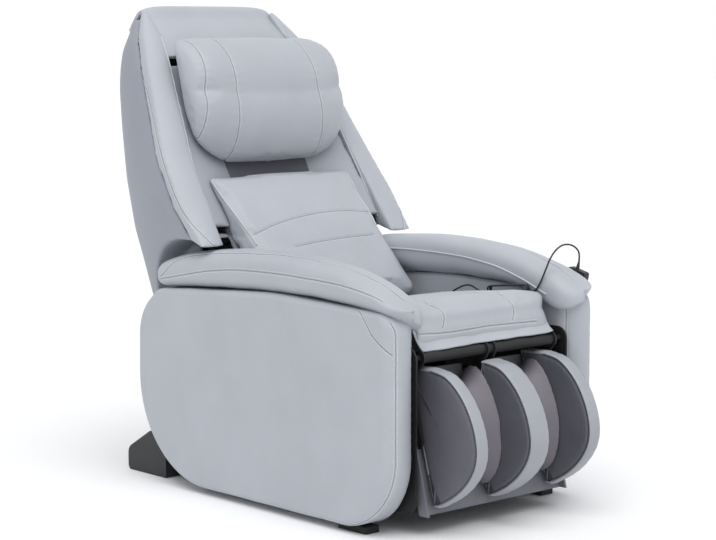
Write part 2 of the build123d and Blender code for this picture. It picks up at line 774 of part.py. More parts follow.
def back_shell():
    """Moulded shell: a wide hollow bucket that clears the arms and a narrow neck between them, both open in front."""
    outer = loft([shell_section(s, 0) for s in SHELL_STATION_SHARES], ruled=True)
    hollow = loft([shell_section(s, SHELL_WALL) for s in SHELL_STATION_SHARES], ruled=True)
    base = SHELL_STATION_SHARES[0][0] * BACK_HEIGHT
    top = SHELL_STATION_SHARES[-1][0] * BACK_HEIGHT
    reach = 2 * BACK_HALF_WIDTH
    kept = block(-reach, reach, -reach, reach, base + SHELL_FLOOR, top - SHELL_WALL)
    swept_by_arms = x_rod(0, 0, ARM_CLEARANCE_RADIUS, -reach, reach)
    swept_and_wall = x_rod(0, 0, ARM_CLEARANCE_RADIUS + SHELL_FLOOR, -reach, reach)
    bucket = outer - swept_by_arms - ((hollow & kept) - swept_and_wall)
    half, lip = NECK_HALF_WIDTH, ARM_CLEARANCE_RADIUS + SHELL_FLOOR + CUT_OVER
    bucket -= block(-half, half, SHELL_STATION_SHARES[0][2] * BACK_DEPTH - CUT_OVER, NECK_FRONT_DEPTH, 0, lip)
    neck_height = lip - NECK_BOTTOM
    neck_out = extrude(neck_face(0), amount=neck_height)
    neck_in = extrude(neck_face(NECK_WALL), amount=neck_height)
    return back_place() * (bucket + neck_out - neck_in)


def wing_section(shares):
    """One level of a side bolster: a crowned front, a stepped outer edge and a straight back."""
    height, inner_width, outer_width, inner_depth, outer_depth = shares
    inner = inner_width * BACK_HALF_WIDTH
    outer = outer_width * BACK_HALF_WIDTH
    near, far = inner_depth * BACK_DEPTH, outer_depth * BACK_DEPTH
    top_share = max(0.0, (height - WING_STATION_SHARES[-2][0]) / (1.0 - WING_STATION_SHARES[-2][0]))
    thick = WING_THICK + (WING_TOP_THICK - WING_THICK) * top_share
    step = WING_EDGE_STEP * (1 - top_share)
    middle = ((inner + outer) / 2, (near + far) / 2 - WING_CROWN * (1 - top_share / 2))
    return slice_face(
        level_plane(height * BACK_HEIGHT),
        [
            ThreePointArc((inner, near), middle, (outer, far)),
            Line((outer, far), (outer - step, far + thick)),
            Line((outer - step, far + thick), (inner, near + thick)),
            Line((inner, near + thick), (inner, near)),
        ],
    )


def back_wing():
    wing = loft([wing_section(s) for s in WING_STATION_SHARES], ruled=True)
    wing -= loft([shell_section(s, 0) for s in SHELL_STATION_SHARES], ruled=True)
    wing -= x_rod(0, 0, ARM_CLEARANCE_RADIUS, 0, 2 * BACK_HALF_WIDTH)
    return back_place() * wing


def liner_section(height, depth):
    """One level of the lined trough between the wings: a flat middle and sloping sides."""
    _, inner_width, _, inner_depth, _ = between(WING_STATION_SHARES, height)
    edge = inner_width * BACK_HALF_WIDTH - SEAT_GAP
    near = inner_depth * BACK_DEPTH + LINER_EDGE_SET
    middle = depth * BACK_DEPTH
    front = [(-edge, near), (-LINER_HALF_WIDTH, middle), (LINER_HALF_WIDTH, middle), (edge, near)]
    back = [(x, y + LINER_THICK) for x, y in reversed(front)]
    return level_plane(height * BACK_HEIGHT) * make_face(Polyline(*front, *back, close=True))


def liner_low_section(height, depth):
    middle = depth * BACK_DEPTH
    half = LINER_LOW_HALF_WIDTH
    corners = [(-half, middle), (half, middle), (half, middle + LINER_THICK), (-half, middle + LINER_THICK)]
    return level_plane(height * BACK_HEIGHT) * make_face(Polyline(*corners, close=True))


def back_liner():
    """Padded trough behind the pillow and the cushion, narrow where it runs down between the arms."""
    upper = LINER_STATION_SHARES[LINER_LOW_STATIONS - 1 :]
    lower = LINER_STATION_SHARES[:LINER_LOW_STATIONS]
    wide = loft([liner_section(*s) for s in upper], ruled=True)
    narrow = loft([liner_low_section(*s) for s in lower], ruled=True)
    return back_place() * (wide + narrow)


def hood():
    """Leather flap over the top of the back, from behind the pillow to the rear of the shell."""
    line = [(d * BACK_DEPTH, h * BACK_HEIGHT) for d, h in HOOD_LINE_SHARES]
    sheet = offset_strip(line, HOOD_THICK)
    return back_place() * across(sheet, -HOOD_HALF_WIDTH, HOOD_HALF_WIDTH)


def offset_strip(line, thick):
    """A YZ strip of even thickness, behind and below a line that climbs and then turns rearward."""
    inside = []
    for k, (y, z) in enumerate(line):
        before = line[max(k - 1, 0)]
        after = line[min(k + 1, len(line) - 1)]
        run = math.hypot(after[0] - before[0], after[1] - before[1])
        normal = ((after[1] - before[1]) / run, -(after[0] - before[0]) / run)
        inside.append((y + normal[0] * thick, z + normal[1] * thick))
    return side_face(line + inside[::-1])


def pillow_back(height):
    share = (height - PILLOW_LOW) / (PILLOW_HIGH - PILLOW_LOW)
    return PILLOW_BACK_LOW + share * (PILLOW_BACK_HIGH - PILLOW_BACK_LOW)


def head_pillow():
    """Barrel pillow: flat behind, round in front, and smaller towards its two end panels."""
    sections = []
    tall = PILLOW_HIGH - PILLOW_LOW
    round_depth_share, round_rise_share = 0.80, 0.66
    for across_share, depth_share, lost_low, lost_high in PILLOW_STATION_SHARES:
        low, high = PILLOW_LOW + lost_low * tall, PILLOW_HIGH - lost_high * tall
        middle = (low + high) / 2
        front = pillow_back(middle) - depth_share * PILLOW_DEPTH
        rise = (high - low) / 2 * round_rise_share
        upper = (pillow_back(high) + (front - pillow_back(high)) * round_depth_share, middle + rise)
        lower = (pillow_back(low) + (front - pillow_back(low)) * round_depth_share, middle - rise)
        plane = Plane(origin=(across_share * PILLOW_HALF_WIDTH, 0, 0), x_dir=(0, 1, 0), z_dir=(1, 0, 0))
        sections.append(
            slice_face(
                plane,
                [
                    Line((pillow_back(low), low), (pillow_back(high), high)),
                    ThreePointArc((pillow_back(high), high), upper, (front, middle)),
                    ThreePointArc((front, middle), lower, (pillow_back(low), low)),
                ],
            )
        )
    pillow = loft(sections)
    reach = 2 * PILLOW_HALF_WIDTH
    for point, facing in PILLOW_FLATS:
        behind = Plane(origin=point, z_dir=facing) * Pos(0, 0, reach) * Box(2 * reach, 2 * reach, 2 * reach)
        for side in (1, -1):
            pillow -= mirrored(behind, side)
    return back_place() * pillow


def lumbar_cushion():
    """Loose cushion that leans on the liner: crowned in front, thin at its head and foot, widest at its head."""
    place = Pos(0, CUSHION_FOOT_Y, CUSHION_FOOT_Z) * Rot(-CUSHION_TILT, 0, 0)
    sections = []
    for up, thick_share, crown_share, width_share in CUSHION_STATION_SHARES:
        half = width_share * CUSHION_HALF_WIDTH
        thick = thick_share * CUSHION_THICK
        crown = crown_share * CUSHION_CROWN
        sections.append(
            slice_face(
                level_plane(up * CUSHION_HEIGHT),
                [
                    ThreePointArc((-half, 0), (0, -crown), (half, 0)),
                    Line((half, 0), (half, thick)),
                    Line((half, thick), (-half, thick)),
                    Line((-half, thick), (-half, 0)),
                ],
            )
        )
    return place * loft(sections)


def back_rail():
    """Channel that guides the carriage, with the gusset and hub that carry the whole back on its pin."""
    rear_face = RAIL_OUTER_X
    channel = block(RAIL_INNER_X, rear_face, RAIL_FRONT, RAIL_REAR, RAIL_LOW, RAIL_HIGH)
    channel -= block(
        RAIL_INNER_X - CUT_OVER,
        rear_face - RAIL_WEB,
        RAIL_FRONT + RAIL_WEB,
        RAIL_REAR - RAIL_WEB,
        RAIL_LOW - CUT_OVER,
        RAIL_HIGH + CUT_OVER,
    )
    middle = (RAIL_FRONT + RAIL_REAR) / 2
    half_depth = (RAIL_REAR - RAIL_FRONT) / 2
    face = link_face((0, 0, GUSSET_RADIUS), (middle, RAIL_LOW, half_depth), (middle, GUSSET_HIGH, half_depth))
    gusset = across(face, rear_face, rear_face + SHEET_STEEL)
    hub = x_rod(0, 0, HUB_RADIUS, rear_face, HUB_OUTER_X)
    rail = channel + gusset + hub
    rail -= x_rod(0, 0, RECLINE_PIN_RADIUS + RUN_FIT, rear_face - CUT_OVER, HUB_OUTER_X + CUT_OVER)
    return track_place() * rail


def recline_lever_pin():
    """World place of the pin that the recline rod pulls on."""
    angle = math.radians(RECLINE_LEVER_ANGLE)
    return (RECLINE_Y + RECLINE_LEVER * math.sin(angle), RECLINE_Z - RECLINE_LEVER * math.cos(angle))


def lift_lever_pin():
    """World place of the pin that the calf rest's rod pushes on."""
    angle = math.radians(LIFT_LEVER_ANGLE)
    return (LIFT_Y + LIFT_LEVER * math.sin(angle), LIFT_Z - LIFT_LEVER * math.cos(angle))


def back_cross_bars():
    """Torque bar with the recline lever, and the two bars that hold the screw's bearings between the rails."""
    half = RAIL_OUTER_X
    pin_y, pin_z = recline_lever_pin()
    torque = x_rod(RECLINE_Y, RECLINE_Z, TORQUE_BAR_RADIUS, -half, half)
    face = link_face((RECLINE_Y, RECLINE_Z, TORQUE_BAR_RADIUS + EAR_THICK), (pin_y, pin_z, EAR_RADIUS))
    torque += ears(RECLINE_ACTUATOR_X, face) + ear_pin(RECLINE_ACTUATOR_X, pin_y, pin_z)
    wide, rear = BAR_HALF_WIDTH, BAR_SET_BACK + BAR_SIDE
    bars = []
    for level in (LOW_BAR_LEVEL, HIGH_BAR_LEVEL):
        top = level + BAR_SIDE
        bar = block(-wide, wide, RAIL_REAR, rear, level, top)
        bar -= block(
            -wide - CUT_OVER,
            wide + CUT_OVER,
            RAIL_REAR + TUBE_WALL,
            rear - TUBE_WALL,
            level + TUBE_WALL,
            top - TUBE_WALL,
        )
        bar += z_rod(0, SCREW_DEPTH, SCREW_NECK_RADIUS + TUBE_WALL, level, top)
        bar -= z_rod(0, SCREW_DEPTH, SCREW_NECK_RADIUS + RUN_FIT, level - CUT_OVER, top + CUT_OVER)
        bars.append(track_place() * bar)
    return Compound(children=[torque] + bars)


def lead_screw():
    """Screw that lifts the carriage, its thread drawn as even grooves between two plain necks."""
    low = LOW_BAR_LEVEL + BAR_SIDE
    screw = z_rod(0, SCREW_DEPTH, SCREW_RADIUS, low + SEAT_GAP, HIGH_BAR_LEVEL - SEAT_GAP)
    screw += z_rod(0, SCREW_DEPTH, SCREW_NECK_RADIUS, LOW_BAR_LEVEL, HIGH_BAR_LEVEL + BAR_SIDE)
    return track_place() * screw


def carriage():
    """Sliding frame of the rollers: plate, guide blocks, cheeks with the arms' shaft, and the screw's nut."""
    level, half, tall = CARRIAGE_LEVEL, CARRIAGE_HALF_WIDTH, CARRIAGE_HALF_HEIGHT
    front, rear = CARRIAGE_PLATE_DEPTH, CARRIAGE_PLATE_DEPTH + CARRIAGE_PLATE
    frame = block(-half, half, front, rear, level - tall, level + tall)
    guide_front = RAIL_FRONT + RAIL_WEB + GUIDE_PLAY
    guide_rear = RAIL_REAR - RAIL_WEB - GUIDE_PLAY
    guide_outer = RAIL_OUTER_X - RAIL_WEB - GUIDE_PLAY
    for side in (-1, 1):
        for end in (-1, 1):
            middle = level + end * (tall - GUIDE_HEIGHT / 2)
            low, high = middle - GUIDE_HEIGHT / 2, middle + GUIDE_HEIGHT / 2
            frame += block(side * (half - GUIDE_HEIGHT), side * guide_outer, guide_front, guide_rear, low, high)
        cheek = block(0, CHEEK_THICK, -CHEEK_NOSE_RADIUS, front, level - CHEEK_HALF_HEIGHT, level + CHEEK_NOSE_RADIUS)
        cheek = Pos(CHEEK_X if side > 0 else -CHEEK_X - CHEEK_THICK, 0, 0) * cheek
        frame += cheek
    reach = CHEEK_X + CHEEK_THICK
    frame += x_rod(0, level, ARM_SHAFT_RADIUS, -reach, reach)
    frame -= x_rod(KNEAD_DEPTH, level + KNEAD_LEVEL, KNEAD_RADIUS + RUN_FIT, -reach - CUT_OVER, reach + CUT_OVER)
    frame += block(
        -NUT_HALF_WIDTH, NUT_HALF_WIDTH, rear, SCREW_DEPTH + NUT_HALF_WIDTH, level - NUT_HALF_HEIGHT, level + NUT_HALF_HEIGHT
    )
    frame -= z_rod(0, SCREW_DEPTH, SCREW_RADIUS + RUN_FIT, level - tall, level + tall)
    return track_place() * frame


def massage_motor():
    """Motor and gearbox bolted to the back of the carriage."""
    level = CARRIAGE_LEVEL + MOTOR_LEVEL
    rear = CARRIAGE_PLATE_DEPTH + CARRIAGE_PLATE
    gearbox = block(MOTOR_X - GEARBOX_WIDTH / 2, MOTOR_X + GEARBOX_WIDTH / 2, rear, MOTOR_DEPTH + MOTOR_RADIUS,
                    level - MOTOR_RADIUS, level + MOTOR_RADIUS)
    gearbox = fillet(gearbox.faces().sort_by(Axis.Y)[-1].edges(), ROLLER_EDGE)
    can = x_rod(MOTOR_DEPTH, level, MOTOR_RADIUS - CARRIAGE_PLATE, MOTOR_X, MOTOR_X + MOTOR_LENGTH)
    return track_place() * (gearbox + can)


def knead_shaft():
    """Cross shaft with an offset boss behind each roller arm and the drive wheel at its end."""
    level = CARRIAGE_LEVEL + KNEAD_LEVEL
    reach = CHEEK_X + CHEEK_THICK + KNEAD_OVERHANG
    shaft = x_rod(KNEAD_DEPTH, level, KNEAD_RADIUS, -reach, reach)
    for side in (-1, 1):
        near = side * (ROLLER_ARM_X - KNEAD_BOSS_WIDTH / 2)
        far = side * (ROLLER_ARM_X + KNEAD_BOSS_WIDTH / 2)
        shaft += x_rod(KNEAD_DEPTH, level + side * KNEAD_BOSS_OFFSET, KNEAD_BOSS_RADIUS, near, far)
    start = CHEEK_X + CHEEK_THICK + SEAT_GAP
    shaft += x_rod(KNEAD_DEPTH, level, KNEAD_WHEEL_RADIUS, start, start + KNEAD_WHEEL_WIDTH)
    return track_place() * shaft


def roller_arm():
    """Forked arm that rocks on the carriage's shaft and carries a roller at each end."""
    level = CARRIAGE_LEVEL
    x0, x1 = ROLLER_ARM_X - ROLLER_ARM_THICK / 2, ROLLER_ARM_X + ROLLER_ARM_THICK / 2
    arm = x_rod(0, level, ROLLER_HUB_RADIUS, ROLLER_ARM_X - ROLLER_HUB_WIDTH / 2, ROLLER_ARM_X + ROLLER_HUB_WIDTH / 2)
    for end in (-1, 1):
        tip = (ROLLER_DEPTH, level + end * ROLLER_LEVEL)
        arm += across(link_face((0, level, ROLLER_HUB_RADIUS), (*tip, ROLLER_ARM_WIDTH / 2)), x0, x1)
        arm += x_rod(*tip, ROLLER_STUD_RADIUS, x1, x1 + SEAT_GAP + ROLLER_WIDTH)
    arm -= x_rod(0, level, ARM_SHAFT_RADIUS + RUN_FIT, x0 - ROLLER_HUB_WIDTH, x1 + ROLLER_HUB_WIDTH)
    return track_place() * arm


def roller(end):
    """One massage roller, a rounded wheel on the stud of its arm."""
    x0 = ROLLER_ARM_X + ROLLER_ARM_THICK / 2 + SEAT_GAP
    y, z = ROLLER_DEPTH, CARRIAGE_LEVEL + end * ROLLER_LEVEL
    wheel = x_rod(y, z, ROLLER_RADIUS, x0, x0 + ROLLER_WIDTH)
    wheel = fillet(wheel.edges(), ROLLER_EDGE)
    wheel -= x_rod(y, z, ROLLER_STUD_RADIUS + RUN_FIT, x0 - CUT_OVER, x0 + ROLLER_WIDTH + CUT_OVER)
    return track_place() * wheel


def tray_depth(z):
    """How far back the tray's front face lies at a height."""
    share = (z - TRAY_BOTTOM_Z) / (TRAY_TOP_Z - TRAY_BOTTOM_Z)
    return TRAY_BOTTOM_Y + share * (TRAY_TOP_Y - TRAY_BOTTOM_Y)


def footrest_tray():
    """Moulded backing of the calf rest with a rim on its sides and foot, notched for the lift rod."""
    front = [(tray_depth(TRAY_TOP_Z), TRAY_TOP_Z), (tray_depth(TRAY_BOTTOM_Z), TRAY_BOTTOM_Z)]
    back = [(y + TRAY_THICK, z) for y, z in reversed(front)]
    plate = across(side_face(front + back), -TRAY_HALF_WIDTH, TRAY_HALF_WIDTH)
    rim_line = [(y - TRAY_RIM, z) for y, z in front]
    rim = side_face(front + rim_line[::-1])
    for side in (-1, 1):
        plate += across(rim, side * (TRAY_HALF_WIDTH - TRAY_RIM_THICK), side * TRAY_HALF_WIDTH)
    notch = block(
        -TRAY_NOTCH_HALF, TRAY_NOTCH_HALF, TRAY_BOTTOM_Y, TRAY_TOP_Y + TRAY_THICK + CUT_OVER, TRAY_NOTCH_BOTTOM_Z,
        TRAY_TOP_Z + CUT_OVER
    )
    return plate - notch


def lobe_face(stepped):
    """The D outline of a padded lobe against the tray, stepped back at its head where the lift lever swings."""
    top_rear = (tray_depth(TRAY_TOP_Z), TRAY_TOP_Z)
    heel_rear = (tray_depth(LOBE_HEEL[1]), LOBE_HEEL[1])
    start = (MIDDLE_LOBE_STEP_Y if stepped else LOBE_TOP_FRONT_Y, LOBE_TOP_Z)
    arcs = [
        ThreePointArc((LOBE_TOP_FRONT_Y - LOBE_EDGE, LOBE_TOP_Z), LOBE_SHOULDER, LOBE_FRONT),
        ThreePointArc(LOBE_FRONT, LOBE_KNEE, LOBE_HEEL),
        Line(LOBE_HEEL, heel_rear),
    ]
    if stepped:
        low_rear = (tray_depth(TRAY_NOTCH_BOTTOM_Z), TRAY_NOTCH_BOTTOM_Z)
        corner = (MIDDLE_LOBE_STEP_Y, TRAY_NOTCH_BOTTOM_Z)
        arcs += [Line(heel_rear, low_rear), Line(low_rear, corner), Line(corner, start)]
    else:
        head_rear = (top_rear[0], top_rear[1])
        arcs += [Line(heel_rear, head_rear), Line(head_rear, start)]
    arcs.append(Line(start, (LOBE_TOP_FRONT_Y - LOBE_EDGE, LOBE_TOP_Z)))
    return slice_face(Plane.YZ, arcs)


def lobe(x0, x1, stepped):
    """A padded D panel between or beside the calves, with rounded rims."""
    body = across(lobe_face(stepped), x0, x1)
    rims = [e for e in body.edges() if e.center().Y < LOBE_TOP_FRONT_Y - LOBE_EDGE and abs(e.length - (x1 - x0)) > CUT_OVER]
    return fillet(rims, LOBE_EDGE)


def calf_pads():
    """The two padded channels that the calves lie in: hollow rimmed drums cut off by the tray."""
    x0, x1 = MIDDLE_LOBE_HALF + CALF_GAP, SIDE_LOBE_INNER_X - CALF_GAP
    middle = (x0 + x1) / 2
    profile = Plane.XY * make_face(
        [
            Line((x0, 0), (x1, 0)),
            Line((x1, 0), (x1, CALF_RIM_RADIUS)),
            ThreePointArc((x1, CALF_RIM_RADIUS), (middle, CALF_FLOOR_RADIUS), (x0, CALF_RIM_RADIUS)),
            Line((x0, CALF_RIM_RADIUS), (x0, 0)),
        ]
    )
    drum = Pos(0, CALF_AXIS_Y, CALF_AXIS_Z) * revolve(profile, Axis.X)
    reach = 2 * CALF_RIM_RADIUS
    behind = [
        (tray_depth(TRAY_TOP_Z), TRAY_TOP_Z),
        (tray_depth(TRAY_BOTTOM_Z), TRAY_BOTTOM_Z),
        (tray_depth(TRAY_BOTTOM_Z) + reach, TRAY_BOTTOM_Z),
        (tray_depth(TRAY_TOP_Z) + reach, TRAY_TOP_Z),
    ]
    pad = drum - across(side_face(behind), 0, 2 * x1)
    return Compound(children=[pad, mirror(pad, about=Plane.YZ)])


def footrest_frame():
    """Hinge tube of the calf rest, its two side arms and the lever that the lift rod pushes."""
    reach = FOOT_ARM_X + FOOT_ARM_THICK
    frame = x_rod(LIFT_Y, LIFT_Z, FOOT_TUBE_RADIUS, -reach, reach)
    half = FOOT_ARM_WIDTH / 2
    knee = (tray_depth(TRAY_TOP_Z) - half, TRAY_TOP_Z - half)
    foot = (tray_depth(FOOT_ARM_LOW_Z) - half, FOOT_ARM_LOW_Z)
    upper = link_face((LIFT_Y, LIFT_Z, FOOT_HUB_RADIUS), (*knee, half))
    lower = link_face((*knee, half), (*foot, half))
    behind = [
        (tray_depth(TRAY_TOP_Z), TRAY_TOP_Z),
        (tray_depth(TRAY_BOTTOM_Z), TRAY_BOTTOM_Z),
        (tray_depth(TRAY_BOTTOM_Z) + 2 * TRAY_THICK, TRAY_BOTTOM_Z),
        (tray_depth(TRAY_TOP_Z) + 2 * TRAY_THICK, TRAY_TOP_Z),
    ]
    for side in (-1, 1):
        arm = across(upper, side * FOOT_ARM_X, side * reach) + across(lower, side * FOOT_ARM_X, side * reach)
        frame += arm - across(side_face(behind), side * FOOT_ARM_X, side * reach)
    pin_y, pin_z = lift_lever_pin()
    frame += ears(0, link_face((LIFT_Y, LIFT_Z, FOOT_HUB_RADIUS), (pin_y, pin_z, EAR_RADIUS)))
    frame += ear_pin(0, pin_y, pin_z)
    inner = ARM_INNER_X - SHEET_STEEL - LIFT_PIN_REACH - CUT_OVER
    for side in (-1, 1):
        frame -= x_rod(LIFT_Y, LIFT_Z, LIFT_PIN_RADIUS + RUN_FIT, side * inner, side * (reach + CUT_OVER))
    return frame


def actuator_place(x, fixed, eye):
    """Place of an actuator whose own Y runs from its fixed pin to the open eye of its rod."""
    angle = math.degrees(math.atan2(eye[1] - fixed[1], eye[0] - fixed[0]))
    return Pos(x, fixed[0], fixed[1]) * Rot(angle, 0, 0)


def actuator_body(tube_length):
    """Electric ram: pinned foot, gearbox, outer tube and the motor beside it."""
    half = ACTUATOR_GEARBOX_HALF
    start = EAR_RADIUS + ACTUATOR_SHOULDER
    end = start + ACTUATOR_GEARBOX
    motor_z = half + ACTUATOR_MOTOR_RADIUS
    body = x_rod(0, 0, EAR_RADIUS, -EYE_WIDTH / 2, EYE_WIDTH / 2)
    body += block(-EYE_WIDTH / 2, EYE_WIDTH / 2, 0, start, -EAR_RADIUS, EAR_RADIUS)
    gearbox = block(-half, half, start, end, -half, motor_z + ACTUATOR_MOTOR_RADIUS)
    body += fillet(gearbox.edges().filter_by(Axis.Y), EYE_WALL)
    body += Pos(0, end + tube_length / 2, 0) * Rot(90, 0, 0) * Cylinder(ACTUATOR_TUBE_RADIUS, tube_length)
    motor = Cylinder(ACTUATOR_MOTOR_RADIUS, ACTUATOR_MOTOR_LENGTH)
    body += Pos(0, end + ACTUATOR_MOTOR_LENGTH / 2, motor_z + EYE_WALL / 2) * Rot(90, 0, 0) * motor
    body -= x_rod(0, 0, LEVER_PIN_RADIUS + RUN_FIT, -half, half)
    bore = Cylinder(ACTUATOR_BORE_RADIUS + RUN_FIT, tube_length)
    body -= Pos(0, end + EYE_WALL + tube_length / 2, 0) * Rot(90, 0, 0) * bore
    return body


def actuator_rod(tube_length, eye_reach):
    """Sliding rod with the oversize eye that takes up the rod's straight path."""
    end = EAR_RADIUS + ACTUATOR_SHOULDER + ACTUATOR_GEARBOX + tube_length
    hole = LEVER_PIN_RADIUS + EYE_PLAY
    start = end - ROD_INSIDE
    rod_end = eye_reach - hole - EYE_WALL / 2
    rod = Pos(0, (start + rod_end) / 2, 0) * Rot(90, 0, 0) * Cylinder(ACTUATOR_BORE_RADIUS, rod_end - start)
    flat_start = eye_reach - hole - EYE_WALL - EYE_WIDTH
    keep = block(-EYE_WIDTH / 2, EYE_WIDTH / 2, flat_start, eye_reach, -EYE_WIDTH, EYE_WIDTH)
    barrel = rod - block(-EYE_WIDTH, EYE_WIDTH, flat_start, eye_reach, -EYE_WIDTH, EYE_WIDTH)
    blade = rod & keep
    eye = x_rod(eye_reach, 0, hole + EYE_WALL, -EYE_WIDTH / 2, EYE_WIDTH / 2)
    whole = barrel + blade + eye
    return whole - x_rod(eye_reach, 0, hole, -EYE_WIDTH, EYE_WIDTH)


def lift_axis():
    pin = lift_lever_pin()
    fixed = (LIFT_REAR_Y, LIFT_REAR_Z)
    return fixed, (pin[0] + LIFT_EYE_OFFSET[0], pin[1] + LIFT_EYE_OFFSET[1])


def recline_axis():
    pin = recline_lever_pin()
    fixed = (RECLINE_FRONT_Y, RECLINE_FRONT_Z)
    return fixed, (pin[0] + RECLINE_EYE_OFFSET[0], pin[1] + RECLINE_EYE_OFFSET[1])


def actuator_pair(x, fixed, eye, tube_length):
    place = actuator_place(x, fixed, eye)
    reach = math.hypot(eye[0] - fixed[0], eye[1] - fixed[1])
    return place * actuator_body(tube_length), place * actuator_rod(tube_length, reach)


def control_box():
    """Finned electronics box on the rear tube."""
    width, length, height = CONTROL_BOX
    front = LOW_TUBE_REAR_Y - TUBE_SIDE / 2
    bottom = LOW_TUBE_Z - TUBE_SIDE / 2
    x0 = CONTROL_BOX_X - width / 2
    box = block(x0, x0 + width, front - length, front, bottom, bottom + height)
    return fillet(box.edges().filter_by(Axis.Z), EYE_WALL)


def air_pump():
    """Pump body with its valve head and two hose nipples."""
    width, length, height = PUMP_BODY
    front = LOW_TUBE_REAR_Y - TUBE_SIDE / 2
    bottom = LOW_TUBE_Z - TUBE_SIDE / 2
    x0 = PUMP_X - width / 2
    pump = block(x0, x0 + width, front - length, front, bottom, bottom + height)
    pump = fillet(pump.edges().filter_by(Axis.Z), EYE_WALL)
    head_y = front - length / 2
    top = bottom + height
    pump += z_rod(PUMP_X, head_y, PUMP_HEAD_RADIUS, top, top + PUMP_HEAD_HEIGHT)
    for side in (-1, 1):
        x = PUMP_X + side * PUMP_HEAD_RADIUS / 2
        pump += z_rod(x, head_y, PUMP_NIPPLE_RADIUS, top + PUMP_HEAD_HEIGHT, top + 2 * PUMP_HEAD_HEIGHT)
    return pump


def rear_cover():
    """Panel behind the base with cooling slots, the mains inlet's well and the switch's window."""
    y0, y1 = PLATE_REAR_Y, PLATE_REAR_Y + COVER_THICK
    panel = block(-COVER_HALF_WIDTH, COVER_HALF_WIDTH, y0, y1, COVER_BOTTOM_Z, COVER_TOP_Z)
    panel = fillet(panel.edges().filter_by(Axis.Y), COVER_CORNER)
    for step in range(COVER_SLOT_COUNT):
        z = COVER_SLOT_Z + step * COVER_SLOT_PITCH
        x0 = COVER_SLOT_X - COVER_SLOT_WIDTH / 2
        panel -= block(x0, x0 + COVER_SLOT_WIDTH, y0 - CUT_OVER, y1 + CUT_OVER, z, z + COVER_SLOT_HEIGHT)
    wide, tall = INLET_WIDTH / 2, INLET_HEIGHT / 2
    panel += block(
        INLET_X - wide - INLET_RIM, INLET_X + wide + INLET_RIM, y1, y1 + INLET_RIM / 2,
        INLET_Z - tall - INLET_RIM, INLET_Z + tall + INLET_RIM
    )
    well_depth = y1 + INLET_RIM / 2 - INLET_DEPTH
    panel -= block(INLET_X - wide, INLET_X + wide, well_depth, y1 + INLET_RIM, INLET_Z - tall, INLET_Z + tall)
    for step in (-1, 0, 1):
        x = INLET_X + step * wide / 2
        z = INLET_Z + (tall / 4 if step == 0 else -tall / 4)
        panel += block(x - INLET_PIN / 2, x + INLET_PIN / 2, well_depth, y1, z - INLET_PIN, z + INLET_PIN)
    wide = ROCKER_WIDTH / 2 + ROCKER_PLAY
    tall = ROCKER_HEIGHT / 2 + ROCKER_PLAY
    panel -= block(ROCKER_X - wide, ROCKER_X + wide, y0 - CUT_OVER, y1 + CUT_OVER, INLET_Z - tall, INLET_Z + tall)
    wall = ROCKER_X + wide
    for side in (-1, 1):
        inner, outer = ROCKER_X + side * (wide - ROCKER_PLAY), ROCKER_X + side * (wide + ROCKER_PLAY)
        panel += x_rod(y1 - ROCKER_DEPTH / 2, INLET_Z, INLET_PIN / 2, inner - side * INLET_PIN, outer)
    return panel


def power_rocker():
    """Two-way key of the mains switch, resting on its off side: a chevron that rocks on two stub pins."""
    y = PLATE_REAR_Y + COVER_THICK - ROCKER_DEPTH / 2
    half = ROCKER_HEIGHT / 2 - ROCKER_PLAY
    wing = ROCKER_DEPTH / 2
    tilt = math.tan(math.radians(ROCKER_REST_ANGLE)) * half
    outline = [
        (-wing, -half),
        (-wing, half),
        (wing + tilt, half),
        (wing + ROCKER_PROUD / 2, 0),
        (wing + tilt, -half),
    ]
    key = across(side_face(outline), -ROCKER_WIDTH / 2, ROCKER_WIDTH / 2)
    key -= x_rod(0, 0, INLET_PIN / 2 + RUN_FIT, -ROCKER_WIDTH, ROCKER_WIDTH)
    return Pos(ROCKER_X, y, INLET_Z) * Rot(ROCKER_REST_ANGLE, 0, 0) * key


def wheel_housings():
    """Black moulded heels of the base: they stand on the floor and hold the transport wheels."""
    front = PLATE_REAR_Y + COVER_THICK
    outline = side_face(
        [
            (front, FLOOR),
            (front, HOUSING_TOP_Z),
            (front + HOUSING_TOP_RUN, HOUSING_TOP_Z),
            (HOUSING_REAR_Y, HOUSING_TOP_Z / 2),
            (HOUSING_REAR_Y, FLOOR),
        ],
        [SEAT_GAP, HOUSING_EDGE, 2 * HOUSING_EDGE, 2 * HOUSING_EDGE, HOUSING_EDGE],
    )
    body = across(outline, HOUSING_INNER_X, HOUSING_OUTER_X)
    half = WHEEL_WIDTH / 2 + WHEEL_PLAY
    pocket = WHEEL_RADIUS + WHEEL_PLAY
    body -= x_rod(WHEEL_Y, WHEEL_Z, pocket, WHEEL_X - half, WHEEL_X + half)
    body -= block(
        WHEEL_X - half, WHEEL_X + half, WHEEL_Y, HOUSING_REAR_Y + CUT_OVER, WHEEL_Z - pocket, WHEEL_Z + pocket
    )
    body -= block(WHEEL_X - half, WHEEL_X + half, WHEEL_Y - pocket, HOUSING_REAR_Y + CUT_OVER, FLOOR - CUT_OVER, WHEEL_Z)
    body += x_rod(WHEEL_Y, WHEEL_Z, WHEEL_AXLE_RADIUS, WHEEL_X - half, WHEEL_X + half)
    return Compound(children=[body, mirror(body, about=Plane.YZ)])


def transport_wheel():
    """Small wheel that meets the floor only when the chair is tipped back to be moved."""
    x0, x1 = WHEEL_X - WHEEL_WIDTH / 2, WHEEL_X + WHEEL_WIDTH / 2
    wheel = fillet(x_rod(WHEEL_Y, WHEEL_Z, WHEEL_RADIUS, x0, x1).edges(), WHEEL_EDGE)
    return wheel - x_rod(WHEEL_Y, WHEEL_Z, WHEEL_AXLE_RADIUS + RUN_FIT, x0 - CUT_OVER, x1 + CUT_OVER)


